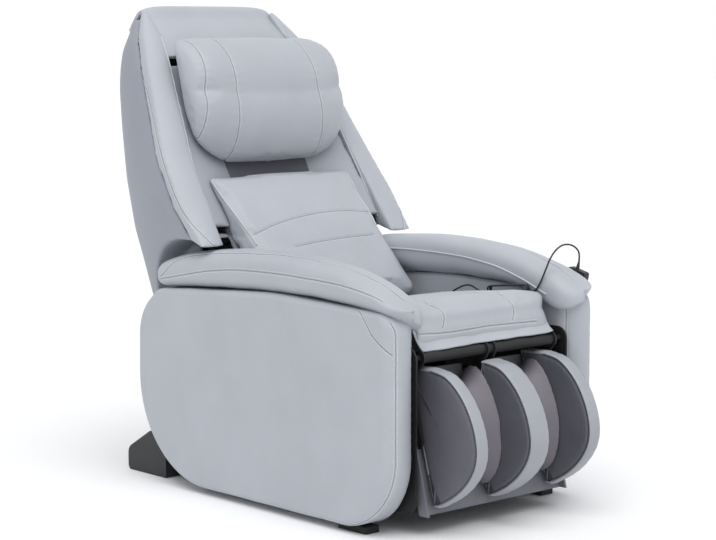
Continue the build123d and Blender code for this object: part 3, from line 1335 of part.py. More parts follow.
def floor_feet():
    """Two rubber feet under the fronts of the arms."""
    x0, x1 = FOOT_X - FOOT_WIDTH / 2, FOOT_X + FOOT_WIDTH / 2
    foot = block(x0, x1, FOOT_Y - FOOT_LENGTH / 2, FOOT_Y + FOOT_LENGTH / 2, FLOOR, ARM_BOTTOM_Z)
    foot = fillet(foot.edges().filter_by(Axis.Z), FOOT_EDGE)
    return Compound(children=[foot, mirror(foot, about=Plane.YZ)])


def handset_place():
    """The handset's own frame: X out from the arm's side, Y rearward across it, Z up along it from its head."""
    x = ARM_INNER_X + ARM_BAND_WIDTH + ARM_PAD_THICK
    return Pos(x, HANDSET_Y, HANDSET_Z) * Rot(HANDSET_LEAN, 0, 0)


def handset_clip():
    """Slim holder screwed to the outside of the left arm: a plate with a foot and two side lips."""
    half, low, high = CLIP_WIDTH / 2, -CLIP_TOP - CLIP_HEIGHT, -CLIP_TOP
    plate = block(0, CLIP_THICK, -half, half, low, high)
    plate = fillet(plate.edges().filter_by(Axis.X), HANDSET_EDGE)
    rib = block(0, CLIP_THICK, -CLIP_LIP, CLIP_LIP, high - CLIP_LIP, high + CLIP_LIP)
    return handset_place() * (plate + rib)


def handset_shell():
    """Slim remote on its clip, its keys outward, with the cord's strain relief at its head."""
    x0, x1 = CLIP_THICK, CLIP_THICK + HANDSET_THICK
    half = HANDSET_WIDTH / 2
    shell = block(x0, x1, -half, half, -HANDSET_LENGTH, 0)
    shell = fillet(shell.edges().filter_by(Axis.X), HANDSET_EDGE)
    shell = fillet(shell.faces().sort_by(Axis.X)[-1].edges(), HANDSET_BEZEL)
    well = x1 - BUTTON_DEPTH - BUTTON_PROUD
    shell -= x_rod(0, -BUTTON_DROP, BUTTON_RADIUS + BUTTON_PLAY, well, x1 + CUT_OVER)
    wide, tall = KEY_WIDTH / 2 + KEY_PLAY, KEY_HEIGHT / 2 + KEY_PLAY
    shell -= block(well, x1 + CUT_OVER, -wide, wide, -KEY_DROP - tall, -KEY_DROP + tall)
    pivot = Pos(x1 - KEY_PIVOT_DEPTH, 0, -KEY_DROP) * Rot(90, 0, 0)
    shell += pivot * Cylinder(KEY_PLAY, 2 * wide + CUT_OVER)
    middle = CORD_OVER_ARM[0][0] - (ARM_INNER_X + ARM_BAND_WIDTH + ARM_PAD_THICK)
    shell += Pos(middle, RELIEF_OFFSET, RELIEF_LENGTH / 2) * Cone(RELIEF_RADIUS, RELIEF_TIP, RELIEF_LENGTH)
    return handset_place() * shell


def power_button():
    x1 = CLIP_THICK + HANDSET_THICK
    return handset_place() * x_rod(0, -BUTTON_DROP, BUTTON_RADIUS, x1 - BUTTON_DEPTH, x1 + BUTTON_PROUD)


def direction_key():
    """Rocking up and down key, pivoted on a thin pin across its well."""
    x1 = CLIP_THICK + HANDSET_THICK
    wide, tall = KEY_WIDTH / 2, KEY_HEIGHT / 2
    key = block(x1 - BUTTON_DEPTH, x1 + BUTTON_PROUD, -wide, wide, -KEY_DROP - tall, -KEY_DROP + tall)
    key = fillet(key.edges().filter_by(Axis.Y).sort_by(Axis.X)[-2:], BUTTON_PROUD)
    pivot = Pos(x1 - KEY_PIVOT_DEPTH, 0, -KEY_DROP) * Rot(90, 0, 0)
    return handset_place() * (key - pivot * Cylinder(KEY_PLAY + RUN_FIT, 4 * wide))


def cord_tube(points, name):
    """A round cord along straight runs joined by tangent arcs, with its radii and length printed."""
    corners = [Vector(*p) for p in points]
    runs = [b - a for a, b in zip(corners, corners[1:])]
    radii = []
    for first, second in zip(runs, runs[1:]):
        half_turn = math.radians(first.get_angle(second)) / 2
        radii.append(0.45 * min(first.length, second.length) / math.tan(half_turn))
    path = FilletPolyline(*corners, radius=radii)
    start = Plane(origin=corners[0], z_dir=runs[0])
    tube = sweep(start * Circle(CORD_DIAMETER / 2), path=path)
    section = math.pi * (CORD_DIAMETER / 2) ** 2
    print(name, "length", round(path.length), "radii", [round(r) for r in radii])
    print(name, "volume over section times length", round(tube.volume / (section * path.length), 4))
    return tube


def cord_hank():
    """The tied spare length: one tube in flattened turns, each run straight and each end a half circle."""
    front, rear = Vector(0, *HANK_FRONT), Vector(0, *HANK_REAR)
    along = (rear - front).normalized()
    up = Vector(1, 0, 0).cross(along)

    def place(end, step, side):
        return end + Vector(HANK_LEFT_X - step * HANK_STEP, 0, 0) + up * (side * HANK_TURN_RADIUS)

    def half_turn(start, finish, outward):
        middle = (start + finish) / 2
        return ThreePointArc(start, middle + outward * ((finish - start).length / 2), finish)

    lead = along * CORD_DIAMETER
    start = place(front, 0, -1) - lead
    path = []
    for k in range(HANK_LOOPS + 1):
        last = k == HANK_LOOPS
        begin = start if k == 0 else place(front, k, -1)
        end = place(rear, k, -1) + (lead if last else Vector(0, 0, 0))
        path.append(Line(begin, end))
        if not last:
            back, home = place(rear, k + 0.5, 1), place(front, k + 0.5, 1)
            path += [half_turn(end, back, along), Line(back, home), half_turn(home, place(front, k + 1, -1), -along)]
    route = Wire(path)
    tube = sweep(Plane(origin=start, z_dir=along) * Circle(CORD_DIAMETER / 2), path=route)
    print("cord_hank length", round(route.length), "least gap", round(HANK_STEP * up.Z - CORD_DIAMETER, 2))
    print("cord_hank ends", start, place(rear, HANK_LOOPS, -1) + lead)
    return tube


def build():
    """Every node of the chair by name."""
    nodes = {}
    bolster = arm_bolster()
    rods = actuator_pair(RECLINE_ACTUATOR_X, *recline_axis(), RECLINE_TUBE_LENGTH)
    rams = actuator_pair(0, *lift_axis(), LIFT_TUBE_LENGTH)
    nodes["recline_actuator"], nodes["recline_rod"] = rods
    nodes["footrest_actuator"], nodes["footrest_rod"] = rams
    for name, side in (("left", 1), ("right", -1)):
        nodes[f"side_plate_{name}"] = mirrored(side_plate(), side)
        nodes[f"arm_core_{name}"] = mirrored(arm_core() - bolster, side)
        nodes[f"arm_band_{name}"] = mirrored(arm_band() - bolster, side)
        nodes[f"arm_outer_pad_{name}"] = mirrored(arm_outer_pad() - bolster, side)
        nodes[f"arm_bolster_{name}"] = mirrored(bolster, side)
        nodes[f"back_wing_{name}"] = mirrored(back_wing(), side)
        nodes[f"back_rail_{name}"] = mirrored(back_rail(), side)
        nodes[f"roller_arm_{name}"] = mirrored(roller_arm(), side)
        nodes[f"upper_roller_{name}"] = mirrored(roller(1), side)
        nodes[f"lower_roller_{name}"] = mirrored(roller(-1), side)
        nodes[f"transport_wheel_{name}"] = mirrored(transport_wheel(), side)
        nodes[f"side_lobe_{name}"] = mirrored(lobe(SIDE_LOBE_INNER_X, SIDE_LOBE_OUTER_X, False), side)
    nodes["middle_lobe"] = lobe(-MIDDLE_LOBE_HALF, MIDDLE_LOBE_HALF, True)
    nodes["calf_pads"] = calf_pads()
    nodes["footrest_tray"] = footrest_tray()
    nodes["footrest_frame"] = footrest_frame()
    nodes["cross_tubes"] = cross_tubes()
    nodes["seat_board"] = seat_board()
    nodes["seat_cushion"] = seat_cushion()
    nodes["front_apron"] = front_apron()
    nodes["seat_latch"] = seat_latch()
    nodes["back_shell"] = back_shell()
    nodes["back_liner"] = back_liner()
    nodes["hood"] = hood()
    nodes["head_pillow"] = head_pillow()
    nodes["lumbar_cushion"] = lumbar_cushion() - nodes["back_liner"]
    nodes["back_cross_bars"] = back_cross_bars()
    nodes["lead_screw"] = lead_screw()
    nodes["carriage"] = carriage()
    nodes["massage_motor"] = massage_motor()
    nodes["knead_shaft"] = knead_shaft()
    nodes["control_box"] = control_box()
    nodes["air_pump"] = air_pump()
    nodes["rear_cover"] = rear_cover()
    nodes["power_rocker"] = power_rocker()
    nodes["wheel_housings"] = wheel_housings()
    nodes["floor_feet"] = floor_feet()
    nodes["handset_clip"] = handset_clip()
    nodes["handset_shell"] = handset_shell()
    nodes["power_button"] = power_button()
    nodes["direction_key"] = direction_key()
    nodes["remote_cord"] = cord_tube(CORD_OVER_ARM, "remote_cord")
    nodes["remote_cord_tail"] = cord_tube(CORD_TO_SEAT, "remote_cord_tail")
    nodes["cord_hank"] = cord_hank()
    return nodes


os.makedirs("parts", exist_ok=True)
for node, shape in build().items():
    export_step(shape, f"parts/{node}.step")
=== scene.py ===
"""Looks of the massage armchair: padded leather, seams, stitching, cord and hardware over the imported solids."""

import json
import math

import bmesh
import bpy
import numpy as np
from mathutils import Euler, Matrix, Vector, kdtree
from mathutils.bvhtree import BVHTree


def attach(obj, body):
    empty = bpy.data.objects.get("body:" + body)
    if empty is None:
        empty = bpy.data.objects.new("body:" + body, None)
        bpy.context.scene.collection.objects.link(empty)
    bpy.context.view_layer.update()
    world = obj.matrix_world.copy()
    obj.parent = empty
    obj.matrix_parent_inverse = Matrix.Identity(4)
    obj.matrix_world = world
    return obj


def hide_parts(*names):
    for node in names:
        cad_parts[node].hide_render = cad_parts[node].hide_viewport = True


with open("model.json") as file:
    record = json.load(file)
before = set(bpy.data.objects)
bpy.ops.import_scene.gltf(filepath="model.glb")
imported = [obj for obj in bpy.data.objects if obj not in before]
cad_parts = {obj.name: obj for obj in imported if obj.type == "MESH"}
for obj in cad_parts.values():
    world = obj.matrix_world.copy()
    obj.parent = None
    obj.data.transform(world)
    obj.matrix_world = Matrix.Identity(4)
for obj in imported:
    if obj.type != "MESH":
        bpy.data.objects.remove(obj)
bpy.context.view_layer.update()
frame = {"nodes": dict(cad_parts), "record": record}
nodes = frame["nodes"]
scene = bpy.context.scene

# Camera that matches the photograph: 716 x 540, centre of the picture on the lens axis
PICTURE = (716.0, 540.0)
FOCAL_PIXELS = 2067.0
SENSOR_WIDTH = 36.0
CAMERA_PLACE = Vector((-3.1025, -3.4438, 1.0352))
CAMERA_ANGLES = Euler((math.radians(83.35), 0.0, math.radians(-42.32)))

SIDES = ("right", "left")  # right is at negative x, the camera's side
MIRROR = np.array([-1.0, 1.0, 1.0])
WELD_REACH = 0.00002
SEAM_STEP = 0.003


# ---------------- node groups and materials


def add_node(tree, kind, inputs, **settings):
    """Outputs of a new node with its settings, then its inputs, each a plain value or another node's output."""
    made = tree.nodes.new(kind)
    for key, value in settings.items():
        setattr(made, key, value)
    for key, value in inputs.items():
        if isinstance(value, bpy.types.NodeSocket):
            tree.links.new(value, made.inputs[key])
        else:
            made.inputs[key].default_value = value
    return made.outputs


def node_group(name, inputs, outputs):
    """Empty node group with its sockets, and what comes in by them. An input without a value is a vector."""
    group = bpy.data.node_groups.new(name, "ShaderNodeTree")
    for title, value in inputs.items():
        kind = "NodeSocketVector" if value is None else "NodeSocketFloat"
        made = group.interface.new_socket(name=title, in_out="INPUT", socket_type=kind)
        if value is not None:
            made.default_value = value
    for title in outputs:
        group.interface.new_socket(name=title, in_out="OUTPUT", socket_type="NodeSocketFloat")
    return group, add_node(group, "NodeGroupInput", {})


def tone_and_shine(group, given, scale, detail, spread):
    """Outputs for slow patches of tone, and for a roughness that rises a little with them."""
    noise = {"Vector": given["Vector"], "Scale": given[scale], "Detail": detail}
    patches = add_node(group, "ShaderNodeTexNoise", noise)["Fac"]
    tone = add_node(group, "ShaderNodeMapRange", {"From Min": 0.3, "From Max": 0.7, "Value": patches})
    shine = {0: tone["Result"], 1: spread, 2: given["Roughness"]}
    shine = add_node(group, "ShaderNodeMath", shine, operation="MULTIPLY_ADD")
    return {"Tone": tone["Result"], "Roughness": shine[0]}


def leather_grain_group():
    """Pebbled hide: small cells with soft valleys, a finer crumple on them, and slow patches of tone and shine."""
    inputs = {"Vector": None, "Cell Scale": 700.0, "Patch Scale": 9.0, "Roughness": 0.45}
    group, given = node_group("leather_grain", inputs, ("Height", "Tone", "Roughness"))
    place = {"Vector": given["Vector"], "Scale": given["Cell Scale"]}
    cells = add_node(group, "ShaderNodeTexVoronoi", place, feature="DISTANCE_TO_EDGE")
    pebble = add_node(group, "ShaderNodeMapRange", {"From Max": 0.22, "Value": cells["Distance"]})
    crumple = add_node(group, "ShaderNodeTexNoise", {**place, "Detail": 4.0})
    height = {0: crumple["Fac"], 1: 0.55, 2: pebble["Result"]}
    height = add_node(group, "ShaderNodeMath", height, operation="MULTIPLY_ADD")
    looks = tone_and_shine(group, given, "Patch Scale", 3.0, 0.08)
    add_node(group, "NodeGroupOutput", {"Height": height[0], **looks})
    return group


def surface_marks_group():
    """Moulded or rolled stock: a fine even speckle for its bump, and broad faint blotches of tone and shine."""
    inputs = {"Vector": None, "Speckle Scale": 900.0, "Blotch Scale": 14.0, "Roughness": 0.4}
    group, given = node_group("surface_marks", inputs, ("Height", "Tone", "Roughness"))
    speckle = {"Vector": given["Vector"], "Scale": given["Speckle Scale"], "Detail": 2.0}
    speckle = add_node(group, "ShaderNodeTexNoise", speckle)
    looks = tone_and_shine(group, given, "Blotch Scale", 5.0, 0.12)
    add_node(group, "NodeGroupOutput", {"Height": speckle["Fac"], **looks})
    return group


def painted_edge_highlight_group():
    """Painted edge highlight: the share by which a corner stands out, from a bevelled and a plain normal."""
    group, given = node_group("painted_edge_highlight", {"Reach": 0.002, "Strength": 1.0}, ("Mask",))
    soft = add_node(group, "ShaderNodeBevel", {"Radius": given["Reach"]}, samples=4)
    plain = add_node(group, "ShaderNodeNewGeometry", {})
    agree = {0: soft["Normal"], 1: plain["Normal"]}
    agree = add_node(group, "ShaderNodeVectorMath", agree, operation="DOT_PRODUCT")["Value"]
    turned = add_node(group, "ShaderNodeMath", {0: 1.0, 1: agree}, operation="SUBTRACT", use_clamp=True)
    scaled = {0: turned[0], 1: given["Strength"]}
    scaled = add_node(group, "ShaderNodeMath", scaled, operation="MULTIPLY", use_clamp=True)
    add_node(group, "NodeGroupOutput", {"Mask": scaled[0]})
    return group


LEATHER_GRAIN = leather_grain_group()
SURFACE_MARKS = surface_marks_group()
PAINTED_EDGE_HIGHLIGHT = painted_edge_highlight_group()


def linear(colour):
    """Written 0-255 colour as the shader's linear values."""
    share = np.array(colour, float) / 255.0
    return [*np.where(share <= 0.04045, share / 12.92, ((share + 0.055) / 1.055) ** 2.4), 1.0]


def blank_material(name):
    """Empty material, its node tree and its object coordinates."""
    made = bpy.data.materials.new(name)
    made.use_nodes = True
    made.node_tree.nodes.clear()
    place = add_node(made.node_tree, "ShaderNodeTexCoord", {})
    return made, made.node_tree, place["Object"]


def two_tone(tree, factor, light, dark):
    """Colour between two by a factor. The dark one may be another node's output."""
    if not isinstance(dark, bpy.types.NodeSocket):
        dark = linear(dark)
    mix = add_node(tree, "ShaderNodeMix", {"A": dark, "B": linear(light), "Factor": factor}, data_type="RGBA")
    return mix["Result"]


def shade(tree, **looks):
    """A material's shader and output."""
    shader = add_node(tree, "ShaderNodeBsdfPrincipled", {k.replace("_", " "): v for k, v in looks.items()})
    add_node(tree, "ShaderNodeOutputMaterial", {"Surface": shader["BSDF"]})


def relief(tree, height, depth):
    bump = add_node(tree, "ShaderNodeBump", {"Distance": depth, "Strength": 1.0, "Height": height})
    return bump["Normal"]


def leather(name, light, dark, roughness=0.43, cells=760.0, depth=0.00006):
    """Embossed leatherette: pebbled relief with slow changes of tone and shine."""
    made, tree, place = blank_material(name)
    grain = {"Vector": place, "Cell Scale": cells, "Patch Scale": 8.0, "Roughness": roughness}
    grain = add_node(tree, "ShaderNodeGroup", grain, node_tree=LEATHER_GRAIN)
    colour = two_tone(tree, grain["Tone"], light, dark)
    shade(tree, Base_Color=colour, Roughness=grain["Roughness"], Normal=relief(tree, grain["Height"], depth))
    return made


def stock(name, light, dark, roughness, metal=0.0, speckle=900.0, blotch=14.0, depth=0.00003, edge=None):
    """Plastic, paint, rubber or metal: speckled relief, blotches of tone, and a painted highlight that lightens every
    sharp edge.
    """
    made, tree, place = blank_material(name)
    marks = {"Vector": place, "Speckle Scale": speckle, "Blotch Scale": blotch, "Roughness": roughness}
    marks = add_node(tree, "ShaderNodeGroup", marks, node_tree=SURFACE_MARKS)
    colour = two_tone(tree, marks["Tone"], light, dark)
    # Painted highlight: the colour drawn toward the edge colour along every sharp edge
    if edge is not None:
        painted_highlight = add_node(tree, "ShaderNodeGroup", {"Reach": 0.0015, "Strength": 2.2}, node_tree=PAINTED_EDGE_HIGHLIGHT)
        colour = two_tone(tree, painted_highlight["Mask"], edge, colour)
    normal = relief(tree, marks["Height"], depth)
    shade(tree, Base_Color=colour, Metallic=metal, Roughness=marks["Roughness"], Normal=normal)
    return made


def woven(name, light, dark, threads, roughness, depth):
    """Plain weave: two crossing sets of threads, each standing up between the other's, with fuzz in their tone."""
    made, tree, place = blank_material(name)
    wave = {"Vector": place, "Scale": threads, "Distortion": 0.6, "Detail Scale": 3.0}
    x_wave, z_wave = (add_node(tree, "ShaderNodeTexWave", wave, bands_direction=axis) for axis in "XZ")
    weave = {0: x_wave["Fac"], 1: z_wave["Fac"]}
    weave = add_node(tree, "ShaderNodeMath", weave, operation="MAXIMUM")[0]
    colour = two_tone(tree, weave, light, dark)
    shade(tree, Base_Color=colour, Roughness=roughness, Normal=relief(tree, weave, depth))
    return made


PAD_LEATHER = leather("pad_leather_grey", (180, 184, 191), (174, 178, 185))
SHELL_LEATHER = leather("shell_leather_grey", (151, 155, 165), (144, 148, 158), 0.5)
CHARCOAL_LEATHER = leather("lobe_leather_charcoal", (99, 99, 107), (89, 89, 97), 0.42)
MAUVE_LEATHER = leather("trough_leather_mauve", (124, 120, 127), (115, 112, 119), 0.46)
TRAY_LEATHER = leather("tray_leather_grey", (118, 120, 127), (109, 111, 118), 0.46)
# The lobes' rim leather is the pale pad leather darkened: painted shade of the seat above
SHADED_RIM_LEATHER = leather("lobe_rim_leather_painted_shade", (163, 166, 172), (156, 159, 165), 0.42)
INNER_LEATHER = leather("trough_side_leather", (170, 174, 182), (163, 167, 175), 0.46)
PIPING = leather("piping_leather_pale", (202, 205, 211), (193, 196, 203), 0.38, 1400.0, 0.00002)
LINER_FABRIC = woven("liner_weave_grey", (112, 112, 120), (84, 84, 92), 420.0, 0.85, 0.0002)
PALE_THREAD = stock("seam_thread_pale", (222, 224, 228), (210, 213, 218), 0.6, speckle=2600.0, depth=0.00004)
DARK_THREAD = stock("seam_thread_dark", (64, 65, 72), (54, 55, 62), 0.6, speckle=2600.0, depth=0.00004)
# A thin dark line laid in each pale seam's valley: painted shadow
PARTING_SHADOW = stock("seam_parting_shadow", (118, 121, 129), (106, 109, 117), 0.7, speckle=2000.0)
CORD_RUBBER = stock("cord_rubber_black", (27, 28, 31), (21, 22, 25), 0.42, speckle=1700.0)

SLOT_FINISHES = {
    "pad_leather": PAD_LEATHER,
    "shell_plastic": SHELL_LEATHER,
    "liner_fabric": LINER_FABRIC,
    "apron_leather": MAUVE_LEATHER,
    "cord_rubber": CORD_RUBBER,
}
# Slot and name of each hard stock: light, dark, roughness, metal, speckle, blotch, depth, edge (the colour of a painted
# highlight along sharp edges)
for slot, name, *looks in (
    ("frame_steel", "frame_paint_black", (22, 22, 24), (17, 17, 19), 0.55, 0, 1300, 14, 3e-5, (52, 52, 56)),
    ("bright_steel", "bright_steel", (196, 197, 200), (176, 178, 182), 0.24, 1, 1800, 14, 3e-5, (214, 215, 218)),
    ("bracket_steel", "bracket_zinc", (206, 206, 204), (188, 188, 188), 0.36, 0.6, 1500),
    ("board_wood", "board_plywood", (92, 82, 70), (78, 69, 58), 0.7, 0, 420, 34, 1e-4),
    ("black_plastic", "black_moulding", (40, 41, 45), (33, 34, 38), 0.46, 0, 1500, 14, 6e-5, (66, 67, 72)),
    ("motor_plastic", "motor_moulding", (58, 60, 66), (48, 50, 56), 0.5, 0, 1200, 14, 3e-5, (86, 88, 94)),
    ("roller_plastic", "roller_moulding", (206, 200, 186), (192, 186, 172), 0.4, 0, 1100, 14, 3e-5, (222, 217, 206)),
    ("ram_aluminium", "ram_aluminium", (176, 178, 182), (158, 160, 165), 0.34, 1, 1500),
    ("gloss_black", "gloss_black", (24, 25, 28), (19, 20, 23), 0.2, 0, 700, 14, 1e-5, (58, 60, 66)),
    ("grey_rubber", "key_rubber_grey", (122, 125, 132), (108, 111, 118), 0.6, 0, 1500, 14, 3e-5, (140, 143, 150)),
    ("foot_rubber", "foot_rubber_black", (30, 30, 31), (24, 24, 25), 0.75, 0, 1300, 14, 8e-5),
):
    SLOT_FINISHES[slot] = stock(name, *looks)
node_slot = {s["node"]: s["material_slot"] for s in frame["record"]["subparts"]}


def dress(node, finish):
    """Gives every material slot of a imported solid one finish."""
    mesh = nodes[node].data
    if not mesh.materials:
        mesh.materials.append(finish)
    for i in range(len(mesh.materials)):
        mesh.materials[i] = finish


for name in nodes:
    dress(name, SLOT_FINISHES[node_slot[name]])
dress("footrest_tray", TRAY_LEATHER)


# ---------------- skins: copies, filling, swells


def rows_of(items, key):
    """What each of a mesh's items says in three numbers, as rows of an array."""
    flat = np.empty(len(items) * 3, np.float32)
    items.foreach_get(key, flat)
    return flat.reshape(-1, 3).astype(float)


def points_and_normals(piece):
    return rows_of(piece.data.vertices, "co"), rows_of(piece.data.vertex_normals, "vector")


def move_to(mesh, points):
    mesh.vertices.foreach_set("co", points.astype(np.float32).ravel())
    mesh.update()


def in_scene(name, data):
    made = bpy.data.objects.new(name, data)
    scene.collection.objects.link(made)
    return made


def new_piece(name, points, faces, finish, smooth=True):
    """Object at the origin from an array of points and rows of point numbers."""
    mesh = bpy.data.meshes.new(name)
    mesh.from_pydata(points.tolist(), [], faces)
    mesh.update()
    if smooth:
        mesh.shade_smooth()
    mesh.materials.append(finish)
    return in_scene(name, mesh)


def settle_modifiers(piece):
    """Makes the piece's mesh what its modifiers show, smooth, with the modifiers gone."""
    bpy.context.view_layer.update()
    shown = piece.evaluated_get(bpy.context.evaluated_depsgraph_get())
    mesh = bpy.data.meshes.new_from_object(shown)
    old = piece.data
    piece.modifiers.clear()
    piece.data = mesh
    bpy.data.meshes.remove(old)
    mesh.shade_smooth()


def even_skin(node, name, voxel, rounds, finish=PAD_LEATHER):
    """Copy of a solid as one even skin: welded, remeshed to small squares, its corners eased by averaging."""
    piece = in_scene(name, nodes[node].data.copy())
    piece.modifiers.new("weld", "WELD").merge_threshold = WELD_REACH
    remesh = piece.modifiers.new("even", "REMESH")
    remesh.mode = "VOXEL"
    remesh.voxel_size = voxel
    ease = piece.modifiers.new("ease", "SMOOTH")
    ease.factor = 0.5
    ease.iterations = rounds
    settle_modifiers(piece)
    piece.data.materials.clear()
    piece.data.materials.append(finish)
    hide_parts(node)
    return piece


def fill_with_foam(piece, pressure, cap, frames=20):
    """Blows the skin up as stuffing does: cloth under pressure for some frames, each point's travel capped."""
    rest = rows_of(piece.data.vertices, "co")
    cloth = piece.modifiers.new("stuffing", "CLOTH")
    cloth.settings.use_pressure = True
    cloth.settings.uniform_pressure_force = pressure
    cloth.settings.effector_weights.gravity = 0.0
    cloth.settings.quality = 4
    cloth.settings.tension_stiffness = 12.0
    cloth.settings.compression_stiffness = 12.0
    cloth.settings.bending_stiffness = 0.3
    cloth.point_cache.frame_start = 1
    cloth.point_cache.frame_end = frames
    for count in range(1, frames + 1):
        scene.frame_set(count)
    shown = piece.evaluated_get(bpy.context.evaluated_depsgraph_get())
    travel = rows_of(shown.data.vertices, "co") - rest
    piece.modifiers.clear()
    scene.frame_set(1)
    size = np.linalg.norm(travel, axis=1, keepdims=True)
    travel *= np.minimum(1.0, cap / np.maximum(size, 1e-9))
    move_to(piece.data, rest + travel)


def subdivide(piece):
    finer = piece.modifiers.new("finer", "SUBSURF")
    finer.levels = finer.render_levels = 1
    settle_modifiers(piece)


def relax_surface(piece, amount, seed, sizes=(0.16, 0.09)):
    """Slow swells of a stretched hide: the sum of a few sine waves in fixed, scattered directions."""
    points, normals = points_and_normals(piece)
    dice = np.random.default_rng(seed)
    total = np.zeros(len(points))
    for size in sizes:
        for _ in range(3):
            way = dice.normal(size=3)
            way /= np.linalg.norm(way)
            total += np.sin(points @ way * 2 * math.pi / size + dice.uniform(0, 6.28)) / 3
    move_to(piece.data, points + normals * (amount * (total / len(sizes)))[:, None])


def stuffed_skin(node, name, voxel, rounds, pressure, cap, swell, seed):
    """Skin of a filled pad: an even copy, blown up, made finer and swelled."""
    piece = even_skin(node, name, voxel, rounds)
    fill_with_foam(piece, pressure, cap)
    subdivide(piece)
    relax_surface(piece, swell, seed)
    return piece


def skin_tree(piece):
    mesh = piece.data
    return BVHTree.FromPolygons([v.co for v in mesh.vertices], [p.vertices for p in mesh.polygons])


def averaged(piece, rounds, hold):
    """Draws every point half way to the mean of its neighbours, round after round, less where hold is near 0."""
    mesh = piece.data
    ends = np.empty(len(mesh.edges) * 2, np.int32)
    mesh.edges.foreach_get("vertices", ends)
    first, second = ends.reshape(-1, 2).T
    points, count = rows_of(mesh.vertices, "co"), len(mesh.vertices)
    links = np.bincount(first, minlength=count) + np.bincount(second, minlength=count)
    for _ in range(rounds):
        total = [
            np.bincount(first, points[second, k], count) + np.bincount(second, points[first, k], count)
            for k in range(3)
        ]
        points += (np.stack(total, axis=1) / links[:, None] - points) * (0.5 * hold)[:, None]
    move_to(mesh, points)


def from_sharp_edges(node, piece, angle, reach, step=0.006):
    """Share from 0 on a solid's sharp edges to 1 at the given reach from them, for each point of its skin."""
    sharp = bmesh.new()
    sharp.from_mesh(nodes[node].data)
    bmesh.ops.remove_doubles(sharp, verts=sharp.verts, dist=WELD_REACH)
    marks = []
    for edge in sharp.edges:
        if len(edge.link_faces) != 2 or edge.calc_face_angle(0.0) > angle:
            a, b = edge.verts[0].co, edge.verts[1].co
            steps = max(1, int((b - a).length / step))
            marks += [a.lerp(b, k / steps) for k in range(steps + 1)]
    sharp.free()
    tree = kdtree.KDTree(len(marks))
    for i, p in enumerate(marks):
        tree.insert(p, i)
    tree.balance()
    gaps = np.array([tree.find(v.co)[2] for v in piece.data.vertices])
    return np.clip(gaps / reach, 0.0, 1.0) ** 2


# ---------------- runs of points


def metres(rows):
    return np.array(rows, float) / 1000.0


def unit(rows):
    """Rows brought to length 1."""
    return rows / np.maximum(np.linalg.norm(rows, axis=1, keepdims=True), 1e-9)


def lengths_along(points):
    """Length from the start of a run to each of its points."""
    return np.concatenate([[0.0], np.cumsum(np.linalg.norm(np.diff(points, axis=0), axis=1))])


def read_at(at, lengths, rows):
    """Rows that belong to a run's points, read at other lengths along it."""
    return np.stack([np.interp(at, lengths, rows[:, k]) for k in range(rows.shape[1])], axis=1)


def spaced(points, step=SEAM_STEP):
    """Points at even steps along a run of points, by its length from the start."""
    lengths = lengths_along(points)
    count = max(2, int(round(lengths[-1] / step)) + 1)
    return read_at(np.linspace(0.0, lengths[-1], count), lengths, points)


def in_order(points, order):
    """Scattered points of a seam as an evenly spaced run, sorted by a value that grows along it."""
    return spaced(points[np.argsort(order)])


def calmed(points, rounds):
    """A run of points with its small steps averaged away, its two ends kept."""
    for _ in range(rounds):
        points[1:-1] = (points[:-2] + 2 * points[1:-1] + points[2:]) / 4
    return points


def rounded_run(corners, count):
    """Smooth run through corner points: each span a Catmull-Rom curve, equal counts of points per span."""
    corners = np.array(corners, float)
    ends = np.vstack([2 * corners[0] - corners[1], corners, 2 * corners[-1] - corners[-2]])
    t = np.linspace(0.0, 1.0, count, endpoint=False)[:, None]
    runs = []
    for a, b, c, d in zip(ends[:-3], ends[1:-2], ends[2:-1], ends[3:]):
        runs.append(0.5 * (2 * b + (c - a) * t + (2 * a - 5 * b + 4 * c - d) * t**2 + (3 * b - a - 3 * c + d) * t**3))
    return np.vstack([*runs, corners[-1:]])


def arc_through(a, b, c, count):
    """Points of the circle through three points, from the first to the last."""
    a, b, c = (np.array(p, float) for p in (a, b, c))
    m = np.array([b - a, c - b])
    centre = np.linalg.solve(m, np.array([(b @ b - a @ a) / 2, (c @ c - b @ b) / 2]))
    first, middle, last = (math.atan2(p[1] - centre[1], p[0] - centre[0]) for p in (a, b, c))
    span = (last - first) % (2 * math.pi)
    if (middle - first) % (2 * math.pi) > span:
        span -= 2 * math.pi
    turn = first + span * np.linspace(0.0, 1.0, count)
    return centre + np.linalg.norm(a - centre) * np.stack([np.cos(turn), np.sin(turn)], axis=1)


def rounded_loop(corners, radii, count):
    """Closed outline of straight runs, each corner an arc of its own radius, as points at even steps of length."""
    parts = []
    for p, before, after, r in zip(corners, np.roll(corners, 1, axis=0), np.roll(corners, -1, axis=0), radii):
        u, v = (q / np.linalg.norm(q) for q in (before - p, after - p))
        half = math.acos(np.clip(u @ v, -1.0, 1.0)) / 2
        middle = p + (u + v) / np.linalg.norm(u + v) * (r / math.sin(half) - r)
        parts.append(arc_through(p + u * r / math.tan(half), middle, p + v * r / math.tan(half), 24))
    return closed_loop(np.vstack(parts), count)


def closed_loop(points, count):
    """A closed run at even steps of length, turning counter-clockwise in its own two axes."""
    ring = np.vstack([points, points[:1]])
    lengths = lengths_along(ring)
    loop = read_at(np.linspace(0.0, lengths[-1], count, endpoint=False), lengths, ring)
    after = np.roll(loop, -1, axis=0)
    if (loop[:, 0] * after[:, 1] - loop[:, 1] * after[:, 0]).sum() < 0:
        loop = loop[::-1]
    return loop


def outward(loop):
    """Unit directions out of a counter-clockwise outline, averaged a little along it."""
    way = np.roll(loop, -1, axis=0) - np.roll(loop, 1, axis=0)
    out = np.stack([way[:, 1], -way[:, 0]], axis=1)
    for _ in range(3):
        out = (np.roll(out, 1, axis=0) + 2 * out + np.roll(out, -1, axis=0)) / 4
    return unit(out)


